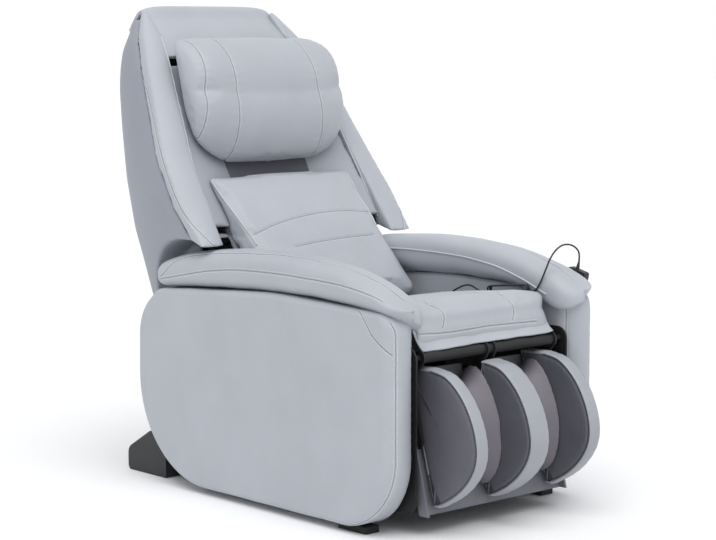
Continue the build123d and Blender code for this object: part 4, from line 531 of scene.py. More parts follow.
def slab_rings(loop, rings):
    """Rings of a pad whose outline lies in (y, z): each is the outline moved inward by an inset, drawn toward the
    outline's middle by a share, and set at its x. Inset and x may differ along the outline."""
    out, middle = outward(loop), loop.mean(axis=0)
    rows = []
    for x, inset, share in rings:
        flat = middle + (loop - out * np.broadcast_to(inset, len(loop))[:, None] - middle) * share
        rows.append(np.column_stack([np.broadcast_to(x, len(loop)), flat]))
    return np.array(rows)


def closed_slab(name, rows, finish=PAD_LEATHER):
    """Pad from rows of rings, its first and last ring drawn together to a point, all faces pointing outward."""
    count, around = rows.shape[:2]
    poles = np.array([rows[0].mean(axis=0), rows[-1].mean(axis=0)])
    points = np.vstack([rows.reshape(-1, 3), poles])
    i, j = np.meshgrid(np.arange(count - 1), np.arange(around), indexing="ij")
    after = (j + 1) % around
    quads = np.stack([i * around + j, i * around + after, (i + 1) * around + after, (i + 1) * around + j], axis=-1)
    k = np.arange(around)
    low = np.stack([np.full(around, len(points) - 2), (k + 1) % around, k], axis=1)
    base = (count - 1) * around
    high = np.stack([np.full(around, len(points) - 1), base + k, base + (k + 1) % around], axis=1)
    faces = quads.reshape(-1, 4).tolist() + low.tolist() + high.tolist()
    a, b, c = points[quads[..., 0]], points[quads[..., 1]], points[quads[..., 2]]
    if (np.cross(b - a, c - a) * (a - points.mean(axis=0))).sum() < 0:
        faces = [f[::-1] for f in faces]
    return new_piece(name, points, faces, finish)


def walled_sheet(name, grid, thickness, offset):
    """Sheet of pad leather from a grid of points, given its thickness."""
    rows, columns = grid.shape[:2]
    i, j = np.meshgrid(np.arange(rows - 1), np.arange(columns - 1), indexing="ij")
    at = i * columns + j
    faces = np.stack([at, at + 1, at + columns + 1, at + columns], axis=-1).reshape(-1, 4)
    made = new_piece(name, grid.reshape(-1, 3), faces.tolist(), PAD_LEATHER)
    wall = made.modifiers.new("wall", "SOLIDIFY")
    wall.thickness = thickness
    wall.offset = offset
    settle_modifiers(made)
    return made


# ---------------- seams, stitching, piping


def upper_marks(*rows):
    """Marks read in an enlargement of the picture's upper part, as marks of the whole picture."""
    return [(115.0 + x / 5.141, 5.0 + y / 5.141) for x, y in rows]


def seat_marks(*rows):
    """The same for the enlarged seat."""
    return [(380.0 + x / 6.817, 220.0 + y / 6.817) for x, y in rows]


def on_side(points, side, drawn="left"):
    """Points drawn on one side of the chair, for the side wanted."""
    return points if side == drawn else points * MIRROR


def met_seam(piece, rays, rounds):
    """Seam through the points where rays, each a start and a direction, first meet a piece's skin."""
    tree = skin_tree(piece)
    found = [tree.ray_cast(start, way.normalized())[0] for start, way in rays]
    return calmed(spaced(np.array([p for p in found if p is not None])), rounds)


def seen_seam(piece, marks):
    """Seam met on a piece's skin by the camera's lines of sight through marks of the picture."""
    turn, (wide, high) = CAMERA_ANGLES.to_matrix(), PICTURE
    sights = [
        turn @ Vector(((x - wide / 2) / FOCAL_PIXELS, (high / 2 - y) / FOCAL_PIXELS, -1.0))
        for x, y in rounded_run(marks, 12)
    ]
    return met_seam(piece, [(CAMERA_PLACE, sight) for sight in sights], 6)


def cast_seam(piece, corners, toward, back_off=0.6):
    """Seam that a run of points leaves where it is carried along one direction on to a piece's skin."""
    way = Vector(toward)
    return met_seam(piece, [(Vector(p) - way * back_off, way) for p in rounded_run(corners, 16)], 4)


def ring_seam(piece, middle, lean):
    """Seam right round a pad: rays from a middle point, spread in a plane that stands across x and leans by a slope."""
    turns = np.linspace(0.0, 2 * math.pi, 181)
    ways = [Vector((lean * math.sin(turn), math.cos(turn), math.sin(turn))) for turn in turns]
    return met_seam(piece, [(Vector(middle), way) for way in ways], 3)


def nearest_seam(piece, corners):
    """Seam through the skin's nearest points to a smooth run of points."""
    return calmed(spaced(on_skin(skin_tree(piece), rounded_run(corners, 16))[0]), 3)


def off_seam(points, trail, batch=4000):
    """Each point's distance from a seam, and the number of the seam's point nearest to it."""
    far, near = np.zeros(len(points)), np.zeros(len(points), int)
    for i in range(0, len(points), batch):
        gap = np.linalg.norm(points[i : i + batch, None, :] - trail[None, :, :], axis=2)
        near[i : i + batch] = gap.argmin(axis=1)
        far[i : i + batch] = gap.min(axis=1)
    return far, near


def sink_seams(piece, trails, width=0.0035, depth=0.0016, pucker=0.0006):
    """Draws the skin in along seams: a bell-shaped valley, with shallow gathers beside it that fade with distance."""
    reach, pitch = 0.016, 0.021
    points, normals = points_and_normals(piece)
    drop = np.zeros(len(points))
    for k, trail in enumerate(trails):
        low, high = trail.min(axis=0) - 3 * reach, trail.max(axis=0) + 3 * reach
        close = np.nonzero(((points > low) & (points < high)).all(axis=1))[0]
        far, near = off_seam(points[close], trail)
        gather = 0.5 + 0.5 * np.sin(near * SEAM_STEP * 2 * math.pi / pitch + 1.7 * np.sin(near * 0.11 + k))
        valley = depth * np.exp(-((far / width) ** 2))
        folds = pucker * gather * np.exp(-((far / reach) ** 2)) * (1 - np.exp(-((far / width) ** 2)))
        drop[close] = np.maximum(drop[close], valley + folds)
    move_to(piece.data, points - normals * drop[:, None])


def along_trail(trail):
    """Unit directions along a run of points."""
    return unit(np.gradient(trail, axis=0))


def on_skin(tree, points):
    """The skin's points nearest to a run of points, and the skin's outward directions there."""
    found = [tree.find_nearest(Vector(p)) for p in points]
    return np.array([f[0] for f in found]), np.array([f[1] for f in found])


def sideways(trail, normals):
    return unit(np.cross(along_trail(trail), normals))


STITCH_PITCH = 0.0055
STITCH_SIZE = np.array([STITCH_PITCH * 0.8, 0.0016, 0.0016]) / 2
# One stitch, along, across and up: four rings of four points, pinched at its two ends
STITCH_BODY = STITCH_SIZE * [
    (along, across, up)
    for along, size in ((-1.0, 0.35), (-0.55, 1.0), (0.55, 1.0), (1.0, 0.35))
    for across, up in ((-size, 0.0), (0.0, size), (size, 0.0), (0.0, -size))
]
STITCH_FACES = np.array(
    [(k, (k + 1) % 4 + k // 4 * 4, (k + 1) % 4 + k // 4 * 4 + 4, k + 4) for k in range(12)]
    + [(3, 2, 1, 0), (12, 13, 14, 15)]
)
PIPING_LIFT = 0.0008


def stitch_points(tree, trail, normals, shift):
    """Thread bumps: a small closed lozenge per stitch, at even pitch along a line beside the seam, on the skin."""
    line, up = on_skin(tree, trail + sideways(trail, normals) * shift)
    lengths = lengths_along(line)
    at = np.arange(STITCH_PITCH / 2, lengths[-1], STITCH_PITCH)
    way = along_trail(calmed(line.copy(), 3))
    centre, up, way = (read_at(at, lengths, rows) for rows in (line, up, way))
    up = unit(up)
    side = unit(np.cross(way, up))
    rows = centre[:, None] + sum(d[:, None] * STITCH_BODY[:, k : k + 1] for k, d in enumerate((way, side, up)))
    faces = STITCH_FACES + len(STITCH_BODY) * np.arange(len(at))[:, None, None]
    return rows.reshape(-1, 3), faces.reshape(-1, 4).tolist()


def line_points(trail, normals, radius, lift=0.0):
    """Thin round line along a run of points: six-sided rings carried along it, its two ends closed."""
    side = sideways(trail, normals)
    up = np.cross(side, along_trail(trail))
    turn = np.arange(6) * math.pi / 3
    spokes = side[:, None, :] * np.cos(turn)[None, :, None] + up[:, None, :] * np.sin(turn)[None, :, None]
    rings = (trail + up * lift)[:, None, :] + radius * spokes
    base, k = (np.arange(len(trail) - 1) * 6)[:, None], np.arange(6)[None, :]
    first, second = base + k, base + (k + 1) % 6
    faces = np.stack([first, second, second + 6, first + 6], axis=2).reshape(-1, 4).tolist()
    faces += [[5, 4, 3, 2, 1, 0], [6 * (len(trail) - 1) + k for k in range(6)]]
    return rings.reshape(-1, 3), faces


def joined(name, body, parts, *finishes):
    """One piece on a body, from parts that each have points, faces and the number of their finish."""
    points, faces, finish_of, base = [], [], [], 0
    for part_points, part_faces, finish in parts:
        points.append(part_points)
        faces += [[i + base for i in f] for f in part_faces]
        finish_of += [finish] * len(part_faces)
        base += len(part_points)
    made = new_piece(name, np.vstack(points), faces, finishes[0])
    for finish in finishes[1:]:
        made.data.materials.append(finish)
    made.data.polygons.foreach_set("material_index", finish_of)
    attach(made, body)


def sew(name, piece, body, trails, rows=(-0.0036, 0.0036), thread=PALE_THREAD, parting=0.0005):
    """One piece with the stitches either side of each seam, and a thin line down the seam's middle: painted shadow of
    the parting between the panels, or dark thread where the thread is dark.
    """
    tree, parts = skin_tree(piece), []
    for trail in trails:
        line, normals = on_skin(tree, trail)
        parts += [(*stitch_points(tree, line, normals, row), 0) for row in rows]
        if parting:
            parts.append((*line_points(line, normals, parting), 1))
    joined(name, body, parts, thread, PARTING_SHADOW if thread is PALE_THREAD else DARK_THREAD)


def pipe_along(name, piece, body, trails, radius):
    """Round piping sewn into seams: a cord of leather half sunk in the skin."""
    tree, parts = skin_tree(piece), []
    for trail in trails:
        line, normals = on_skin(tree, trail)
        parts.append((*line_points(calmed(line, 4), normals, radius, PIPING_LIFT), 0))
    joined(name, body, parts, PIPING)


def finish_pad(piece, body, fill, seams=(), name=None, sunk=None, **stitching):
    """The last steps of a pad: its seams drawn in and sewn, and its body. The filling it is given is not used."""
    if seams:
        sink_seams(piece, seams, **(sunk or {}))
        sew(name, piece, body, seams, **stitching)
    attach(piece, body)


def stand_for(piece, *solids):
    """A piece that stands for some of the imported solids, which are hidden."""
    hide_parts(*solids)
    return piece


# ---------------- cord

CORD_DIAMETER = 0.004
OVER_ARM = [
    (322, -409.72, 522.73), (320.5, -413.5, 541.5), (308, -414, 556), (287, -414, 565), (262, -415, 566),
    (238, -417, 557), (219, -418, 540), (208, -416, 517), (202, -409, 493), (200.2, -399, 474),
    (200, -389, 465.2), (200, -374.9, 463.5),
]
# The hank's turns lie side by side: y and z of each point, its x a little less than the last one's
HANK_X, HANK_STEP = 199.8, 0.4
HANK_TURNS = [
    (-361.0, 461.9), (-276.8, 452.4), (-265.6, 451.2), (-260.4, 455.3), (-259.7, 461.9), (-263.8, 467.1),
    (-276.0, 468.5), (-360.2, 477.9), (-372.4, 479.3), (-377.6, 475.2), (-378.3, 468.6), (-374.2, 463.4),
    (-361.0, 461.9), (-276.8, 452.4), (-266.6, 451.3), (-261.4, 455.4), (-260.7, 462.0), (-264.8, 467.2),
    (-276.0, 468.5), (-360.2, 477.9), (-370.9, 479.2), (-376.1, 475.0), (-376.8, 468.4), (-372.7, 463.3),
    (-361.0, 461.9), (-276.8, 452.4), (-264.1, 451.0), (-258.9, 455.2), (-258.2, 461.7), (-262.3, 466.9),
    (-276.0, 468.5), (-360.2, 477.9), (-373.9, 479.5), (-379.1, 475.3), (-379.8, 468.8), (-375.7, 463.6),
]
TO_SEAT = [
    (185.6, -359, 461.7), (185.6, -280.8, 452.9), (185.6, -264.9, 451.1), (185.6, -249, 449.4), (188, -226, 456.5),
    (194, -203, 462.5), (199, -178, 461), (201.5, -154, 451.5), (205, -131, 441), (211, -110, 428),
    (214, -92, 410), (213.5, -80, 389), (209.5, -75, 374), (200.4, -74, 364.5),
]


def handset_cord():
    """The handset's lead in one smooth curve: over the arm, its spare length in a hank, and into the seat's side."""
    curve = bpy.data.curves.new("handset_cord", "CURVE")
    curve.dimensions = "3D"
    spline = curve.splines.new("NURBS")
    hank = [(round(HANK_X - i * HANK_STEP, 1), y, z) for i, (y, z) in enumerate(HANK_TURNS)]
    route = OVER_ARM + hank + TO_SEAT
    spline.points.add(len(route) - 1)
    for point, (x, y, z) in zip(spline.points, route):
        point.co = (x / 1000, y / 1000, z / 1000, 1.0)
    spline.order_u = 3
    spline.use_endpoint_u = True
    spline.resolution_u = 12
    curve.bevel_depth = CORD_DIAMETER / 2
    curve.bevel_resolution = 4
    curve.use_fill_caps = True
    curve.materials.append(CORD_RUBBER)
    made = in_scene("handset_cord", curve)
    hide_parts("remote_cord", "cord_hank", "remote_cord_tail")
    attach(made, "base")


handset_cord()

# ---------------- arms

ARM_INNER, ARM_OUTER = 0.228, 0.310
ARM_CORNERS = metres([(-475, 466), (-90, 478), (305, 452), (376, 388), (376, 14), (-475, 14)])
ARM_RADII = metres([46, 1400, 60, 110, 236, 155])
ARM_BACK_SHARES = (0.01, 0.35, 0.7, 0.9, 0.97)
ARM_FACE_SHARES = (*np.linspace(0.992, 0.72, 38), 0.66, 0.6, 0.5, 0.4, 0.3, 0.2, 0.1, 0.01)
ARM_FACE_SWELL = 0.0022
INNER_TURNS = np.radians(np.arange(0.0, 91.0, 7.5))
OUTER_TURNS = np.radians(np.arange(0.0, 91.0, 5.0))
INNER_SEAM_RING = len(ARM_BACK_SHARES) + 4
OUTER_SEAM_RING = len(ARM_BACK_SHARES) + len(INNER_TURNS) + 6
# Radius of the board's edges, and what the round nose adds to it
EDGE_INNER, EDGE_OUTER = 0.012, 0.013
NOSE_INNER, NOSE_OUTER = 0.033, 0.0225
# The seams run in front of a y, below the roll, and the inner one down to a foot
OUTER_SEAM_Y, INNER_SEAM_Y = -0.26, -0.40
NOSE_SEAM_TOP, INNER_SEAM_FOOT = 0.452, 0.09
NOSE_MIDDLE = (-0.2, 0.25)


def arm_body(side):
    """One arm's padded board, an outline carried across x: a thin soft edge all round, a full round nose in front,
    and a panel that swells a little outward. With it, the two seams of its nose."""
    loop = rounded_loop(ARM_CORNERS, ARM_RADII, 880)
    nose = np.clip(-outward(loop)[:, 0], 0.0, 1.0) ** 2
    inner, outer = EDGE_INNER + NOSE_INNER * nose, EDGE_OUTER + NOSE_OUTER * nose
    rings = [(ARM_INNER, inner, share) for share in ARM_BACK_SHARES]
    for turn in INNER_TURNS:
        rings.append((ARM_INNER + inner * (1 - math.cos(turn)), inner * (1 - math.sin(turn)), 1.0))
    for turn in OUTER_TURNS:
        rings.append((ARM_OUTER - outer + outer * math.sin(turn), outer * (1 - math.cos(turn)), 1.0))
    for share in ARM_FACE_SHARES:
        rings.append((ARM_OUTER + ARM_FACE_SWELL * (1 - share**2), outer, share))
    rows = on_side(slab_rings(loop, rings), side)
    body = closed_slab(f"arm_cover_{side}", rows)
    stand_for(body, f"arm_core_{side}", f"arm_band_{side}", f"arm_outer_pad_{side}")
    front, within = rows[OUTER_SEAM_RING], rows[INNER_SEAM_RING]
    front = front[(front[:, 1] < OUTER_SEAM_Y) & (front[:, 2] < NOSE_SEAM_TOP)]
    within = within[(within[:, 1] < INNER_SEAM_Y) & (within[:, 2] < NOSE_SEAM_TOP) & (within[:, 2] > INNER_SEAM_FOOT)]
    around = np.arctan2(front[:, 1] - NOSE_MIDDLE[0], front[:, 2] - NOSE_MIDDLE[1])
    return body, [in_order(front, around), in_order(within, within[:, 2])]


# Share of the roll's length from the nose, of its height, and of its inner lip's depth
ROLL_STATIONS = [
    (0.0, 0.16, 0.85), (0.03, 0.27, 0.97), (0.07, 0.42, 0.92), (0.113, 0.56, 0.68), (0.227, 0.80, 0.16),
    (0.386, 0.95, 0.0), (0.551, 1.0, 0.0), (0.761, 0.95, 0.0), (0.905, 0.82, 0.0), (1.0, 0.62, 0.0),
]
ROLL_NOSE, ROLL_REAR = -0.486, 0.325
ROLL_INNER, ROLL_OUTER = 0.205, 0.309
ROLL_HEIGHT, ROLL_LIP = 0.088, 0.056
# Sections lie even, and bunched toward both ends, by these shares
EVEN_SHARE, BUNCHED_SHARE = 0.45, 0.55
NOSE_REACH, REAR_REACH, END_POWER = 0.052, 0.04, 2.2
ACROSS_POWER, UP_POWER = 0.78, 0.74
LEAST_SECTION = 0.003
# The arm's top that the roll lies on: its two ends, its height in front, its fall and its bow
ARM_TOP_FRONT, ARM_TOP_REAR = -0.478, 0.305
ARM_TOP, ARM_TOP_FALL, ARM_TOP_BOW = 0.466, 0.007, 0.016


def powered(wave, power):
    """A sine or cosine made squarer, its sign kept."""
    return np.sign(wave) * np.abs(wave) ** power


def arm_roll(side):
    """Armrest roll: a squarish round section carried from the nose to the back, its height and its inner lip read
    from stations, its width and depth shrinking to nothing as a half ellipse does at both ends."""
    run = rounded_run(ROLL_STATIONS, 24)
    turn = np.linspace(0.0, math.pi, 301)
    along = BUNCHED_SHARE * ((1 - np.cos(turn)) / 2) + EVEN_SHARE * turn / math.pi
    y = ROLL_NOSE + along * (ROLL_REAR - ROLL_NOSE)
    height = ROLL_HEIGHT * np.interp(along, run[:, 0], run[:, 1])
    lip = ROLL_LIP * np.interp(along, run[:, 0], run[:, 2])
    t = np.clip((2 * y - ARM_TOP_FRONT - ARM_TOP_REAR) / (ARM_TOP_REAR - ARM_TOP_FRONT), -1.0, 1.0)
    low = (ARM_TOP - ARM_TOP_FALL * (t + 1) + ARM_TOP_BOW * (1 - t * t))[:, None]
    front = np.clip(1 - (y - ROLL_NOSE) / NOSE_REACH, 0.0, 1.0)
    rear = np.clip(1 - (ROLL_REAR - y) / REAR_REACH, 0.0, 1.0)
    close = np.sqrt(np.clip(1 - front**END_POWER, 0.0, 1.0) * np.clip(1 - rear**END_POWER, 0.0, 1.0))
    close = np.maximum(close, LEAST_SECTION)[:, None]
    angle = np.linspace(0.0, 2 * math.pi, 140, endpoint=False)[None, :]
    flat = powered(np.cos(angle), ACROSS_POWER)
    x = (ROLL_OUTER + ROLL_INNER) / 2 + (ROLL_OUTER - ROLL_INNER) / 2 * flat * close
    base = low - lip[:, None] * (0.5 - 0.5 * flat)
    top = low + height[:, None]
    z = (top + base) / 2 + (top - base) / 2 * powered(np.sin(angle), UP_POWER) * close
    rows = np.stack([x, np.broadcast_to(y[:, None], x.shape), z], axis=-1)
    return stand_for(closed_slab(f"arm_roll_{side}", on_side(rows, side)), f"arm_bolster_{side}")


ROLL_TOP_SEAM = metres([
    (-303, 288, 480), (-293, 219, 521), (-291, 137, 537), (-289, 54, 545), (-287, -30, 550), (-283, -114, 552),
    (-276, -193, 551), (-269, -259, 544), (-262, -341, 536), (-257, -417, 508), (-256, -452, 488),
])
ROLL_LOW_SEAM = metres([
    (-309, 291, 473), (-308, 206, 490), (-308, 120, 506), (-308, 34, 516), (-307, -53, 520), (-307, -140, 521),
    (-305, -227, 519), (-303, -314, 515), (-301, -390, 503), (-300, -440, 488),
])
ROLL_INNER_EDGE = metres([
    (-222, 250, 497), (-215, 180, 512), (-212, 90, 522), (-210, 0, 526), (-208, -90, 526), (-207, -180, 522),
    (-206, -270, 510), (-207, -350, 488), (-212, -420, 462),
])
PANEL_ARC_SEAM = metres([
    (-309, -372, 474), (-310, -382, 466), (-311, -402, 441), (-311, -420, 420), (-311, -440, 406), (-309, -460, 393),
    (-302, -470, 386),
])

for side in SIDES:
    cover, cover_seams = arm_body(side)
    relax_surface(cover, 0.0009, 8, sizes=(0.24, 0.13))
    cover_seams.append(nearest_seam(cover, on_side(PANEL_ARC_SEAM, side, "right")))
    finish_pad(cover, "base", 0.9, cover_seams, f"arm_cover_stitching_{side}")
    roll = arm_roll(side)
    relax_surface(roll, 0.0012, 5)
    roll_seams = [nearest_seam(roll, on_side(t, side, "right")) for t in (ROLL_TOP_SEAM, ROLL_LOW_SEAM)]
    finish_pad(roll, "base", 0.9, roll_seams, f"arm_roll_stitching_{side}")
    inner_edge = nearest_seam(roll, on_side(ROLL_INNER_EDGE, side, "right"))
    pipe_along(f"arm_roll_piping_{side}", roll, "base", [inner_edge], 0.002)

# ---------------- back

# The solid's flat strips become one smooth curve, and its rims and corners stay
shell_cover = even_skin("back_shell", "shell_cover", 0.006, 2, SHELL_LEATHER)
averaged(shell_cover, 90, from_sharp_edges("back_shell", shell_cover, math.radians(32), 0.03))
relax_surface(shell_cover, 0.0006, 31, sizes=(0.3, 0.17))
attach(shell_cover, "backrest")

WING_SEAM = upper_marks(
    (105, 90), (115, 200), (135, 335), (165, 450), (190, 560), (215, 680), (245, 800), (290, 940), (345, 1060),
    (400, 1130), (470, 1200), (510, 1240),
)
WING_INNER_EDGE = metres([
    (186, 402, 1040), (188, 376, 985), (195, 345, 925), (203, 312, 865), (212, 280, 805), (218, 250, 745),
    (222, 222, 690), (226, 196, 640), (232, 168, 590),
])
for side in SIDES:
    wing = even_skin(f"back_wing_{side}", f"wing_pad_{side}", 0.005, 8)
    relax_surface(wing, 0.0009, 21)
    if side == "right":
        wing_trail = seen_seam(wing, WING_SEAM)
    subdivide(wing)
    finish_pad(wing, "backrest", 0.9, [on_side(wing_trail, side, "right")], f"wing_stitching_{side}")
    inner_edge = nearest_seam(wing, on_side(WING_INNER_EDGE, side))
    pipe_along(f"wing_piping_{side}", wing, "backrest", [inner_edge], 0.0019)

pillow = stuffed_skin("head_pillow", "neck_pillow", 0.006, 10, 2.0, 0.006, 0.0012, 41)
PILLOW_SEAMS = ((-0.126, 0.06), (0.122, -0.03), (-0.205, 0.10), (0.205, -0.10))
pillow_seams = [ring_seam(pillow, (x, 0.300, 0.866), lean) for x, lean in PILLOW_SEAMS]
sunk = {"depth": 0.0024, "width": 0.0045, "pucker": 0.001}
finish_pad(pillow, "backrest", 0.95, pillow_seams, "pillow_stitching", sunk)

cushion = stuffed_skin("lumbar_cushion", "back_cushion", 0.006, 10, 2.0, 0.006, 0.0014, 43)
CUSHION_SEAMS = (
    upper_marks((715, 1180), (830, 1125), (960, 1085), (1080, 1062), (1200, 1055), (1300, 1062), (1350, 1080)),
    upper_marks((930, 1240), (1050, 1215), (1200, 1192), (1330, 1178)),
)
cushion_seams = [seen_seam(cushion, marks) for marks in CUSHION_SEAMS]
sunk = {"depth": 0.0022, "pucker": 0.0009}
finish_pad(cushion, "backrest", 0.8, cushion_seams, "back_cushion_stitching", sunk, rows=(0.0032,))
CUSHION_EDGE = upper_marks((470, 870), (520, 940), (560, 1000), (620, 1080), (700, 1190), (730, 1235))
cushion_edge = seen_seam(cushion, CUSHION_EDGE)
pipe_along("back_cushion_piping", cushion, "backrest", [cushion_edge, cushion_edge * MIRROR], 0.0018)

WEAVE_HALF_WIDTH = 0.122
trough = even_skin("back_liner", "back_trough", 0.005, 4, INNER_LEATHER)
trough.data.materials.append(LINER_FABRIC)
middles = rows_of(trough.data.polygons, "center")
trough.data.polygons.foreach_set("material_index", (np.abs(middles[:, 0]) < WEAVE_HALF_WIDTH).astype(np.int32))
finish_pad(trough, "backrest", 0.8)

# Millimetres off the back's plane and up along it
HOOD_LINE = [(40.9, 640.2), (69.9, 689.9), (106.0, 740.3), (124.1, 773.9), (150.1, 765.5), (182.1, 738.0)]
BACK_LEAN = math.radians(14)
BACK_FOOT = (200, 360)
HOOD_TOP_HALF, HOOD_FLARE = 193.0, 22.0
HOOD_SWELL, HOOD_DROP = 9.0, 5.0


def hood_points():
    """Grid of the padded hood: a line over the back's top carried across x, swelling in the middle and dropping at
    both sides."""
    line = spaced(rounded_run(HOOD_LINE, 12), 4.5)
    way = np.gradient(line, axis=0)
    out = unit(np.stack([-way[:, 1], way[:, 0]], axis=1))
    share = np.linspace(0.0, 1.0, len(line))[:, None]
    across = np.linspace(-1.0, 1.0, 91)[None, :]
    swell = HOOD_SWELL * np.sin(math.pi * np.clip(share, 0.04, 0.97)) ** 0.5
    lift = swell * (1 - np.abs(across) ** 6) - HOOD_DROP * (np.abs(across) ** 12) * np.sin(math.pi * share)
    v = line[:, 0:1] + out[:, 0:1] * lift
    u = line[:, 1:2] + out[:, 1:2] * lift
    x = across * (HOOD_TOP_HALF + HOOD_FLARE * np.clip(1 - share / 0.55, 0.0, 1.0))
    y = BACK_FOOT[0] + v * math.cos(BACK_LEAN) + u * math.sin(BACK_LEAN)
    z = BACK_FOOT[1] - v * math.sin(BACK_LEAN) + u * math.cos(BACK_LEAN)
    return np.stack([x, y, z], axis=-1) / 1000


hood_cover = walled_sheet("hood_cover", hood_points(), 0.009, -1.0)
finish_pad(stand_for(hood_cover, "hood"), "backrest", 0.7)

# ---------------- seat

DOWN, REARWARD = (0, 0, -1), (0, 1, 0)
seat = stuffed_skin("seat_cushion", "seat_pad", 0.005, 8, 1.5, 0.005, 0.0012, 51)
seat_seams = [
    cast_seam(seat, metres([(-138, -200, 500), (-138, -330, 500), (-138, -404, 500)]), DOWN),
    seen_seam(seat, seat_marks((340, 580), (400, 600), (435, 640), (440, 690), (430, 735))),
    cast_seam(seat, metres([(90, -200, 500), (90, -330, 500), (88, -404, 500)]), DOWN),
    seen_seam(seat, seat_marks((870, 540), (910, 590), (915, 640), (905, 680))),
    seen_seam(seat, seat_marks((240, 780), (480, 765), (760, 720), (1070, 690))),
]
finish_pad(seat, "base", 0.85, seat_seams, "seat_stitching")

FLAP_PROFILE = metres([
    (-419, 421), (-423.5, 413), (-427, 405), (-431, 398), (-436.5, 391), (-442.5, 385), (-446, 382.5),
])
FLAP_HALF_WIDTH = 0.199
FLAP_CURL_FROM, FLAP_CURL_OVER = 0.17, 0.029


def seat_flap():
    """Strip of leather sewn under the seat's nose: its profile flares forward, and slow waves grow toward its hem."""
    profile = spaced(rounded_run(FLAP_PROFILE, 8))
    across = np.linspace(-FLAP_HALF_WIDTH, FLAP_HALF_WIDTH, 121)[None, :]
    down = np.linspace(0.0, 1.0, len(profile))[:, None]
    wave = 0.0016 * np.sin(across * 47.0 + 0.6) + 0.0012 * np.sin(across * 96.0 + 2.0)
    curl = 0.006 * np.clip((np.abs(across) - FLAP_CURL_FROM) / FLAP_CURL_OVER, 0.0, 1.0) ** 2
    sag = 0.004 * (across < 0) * (-across / FLAP_HALF_WIDTH)
    y = profile[:, 0:1] - down**1.5 * (wave + curl * 0.5)
    z = profile[:, 1:2] - down**2 * (sag - curl * 0.6)
    grid = np.stack([np.broadcast_to(across * (1 - 0.012 * down), y.shape), y, z], axis=-1)
    made = walled_sheet("seat_flap", grid, 0.0028, 0.0)
    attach(made, "base")
    sew("seat_flap_stitching", made, "base", [spaced(grid[-3])], rows=(0.0,), parting=0)


seat_flap()

finish_pad(even_skin("front_apron", "seat_apron", 0.003, 3, MAUVE_LEATHER), "base", 0.4)

# ---------------- calf rest

LOBE_FRONT = rounded_run(metres([
    (-458, 346), (-508, 335), (-553, 299), (-584, 250), (-598, 198), (-592, 155), (-567, 116), (-530, 84), (-484, 58),
]), 12)
SIDE_LOBE_BACK = metres([(-470, 58), (-391, 344)])
MIDDLE_LOBE_BACK = metres([(-470, 58), (-404, 300), (-447, 306), (-449, 345)])
CHEEK_SHARES = (0.988, 0.976, 0.964, 0.95, 0.93, 0.9, 0.86, 0.8, 0.72, 0.62, 0.5, 0.35, 0.2, 0.01)
# Inset of the rim, and share of the lobe's half width that it has there
RIM_SECTION = [
    (0.0, 0.0), (0.0001, 0.2), (0.0003, 0.4), (0.0006, 0.55), (0.0010, 0.7), (0.0016, 0.8), (0.0024, 0.88),
    (0.0034, 0.94), (0.0046, 0.975),
]
# How far the rim's last ring and the cheek lie in from the lobe's side, and from its outline
RIM_SUNK, RIM_INSET = 0.0016, 0.0068
CHEEK_SUNK, CHEEK_INSET = 0.002, 0.0078
CHEEK_SWELL, CHEEK_FADE = 0.0026, 0.05
LOBE_SEAM_Y, LOBE_MIDDLE = -0.458, (-0.42, 0.2)


def calf_lobe(node, middle, half, back):
    """One lobe between the legs: a crescent outline carried across x, a pale rim round its front and a dark crowned
    cheek on each side, parted by a seam."""
    loop = closed_loop(np.vstack([LOBE_FRONT, back]), 480)
    halves = []
    for side in (-1.0, 1.0):
        rows = [(middle + side * half * across, inset, 1.0) for inset, across in RIM_SECTION]
        rows.append((middle + side * (half - RIM_SUNK), RIM_INSET, 1.0))
        for share in CHEEK_SHARES:
            swell = CHEEK_SWELL * (1 - math.exp(-(1 - share) / CHEEK_FADE))
            rows.append((middle + side * (half - CHEEK_SUNK + swell), CHEEK_INSET, share))
        halves.append(rows)
    rings = halves[0][::-1] + halves[1][1:]
    rows = slab_rings(loop, rings)
    piece = closed_slab(f"{node}_cover", rows, CHARCOAL_LEATHER)
    # The rim's finish: pale leather darkened with painted shade
    piece.data.materials.append(SHADED_RIM_LEATHER)
    around, first, last = len(loop), len(CHEEK_SHARES), len(rings) - 1 - len(CHEEK_SHARES)
    index = np.zeros(len(piece.data.polygons), np.int32)
    index[first * around : last * around] = 1
    piece.data.polygons.foreach_set("material_index", index)
    seams = []
    for ring in (rows[first], rows[last]):
        front = ring[ring[:, 1] < LOBE_SEAM_Y]
        seams.append(in_order(front, np.arctan2(front[:, 2] - LOBE_MIDDLE[1], LOBE_MIDDLE[0] - front[:, 1])))
    finish_pad(stand_for(piece, node), "calf_rest", 0.9, seams, f"{node}_stitching", thread=DARK_THREAD)


calf_lobe("side_lobe_left", 0.170, 0.018, SIDE_LOBE_BACK)
calf_lobe("side_lobe_right", -0.170, 0.018, SIDE_LOBE_BACK)
calf_lobe("middle_lobe", 0.0, 0.030, MIDDLE_LOBE_BACK)

# Height and y of the tray's top edge, its slope, and the middle of each calf's hollow
TRAY_TOP, TRAY_TOP_Y, TRAY_SLOPE = 0.344, -0.391, 0.274
CALF_MIDDLE = 0.091
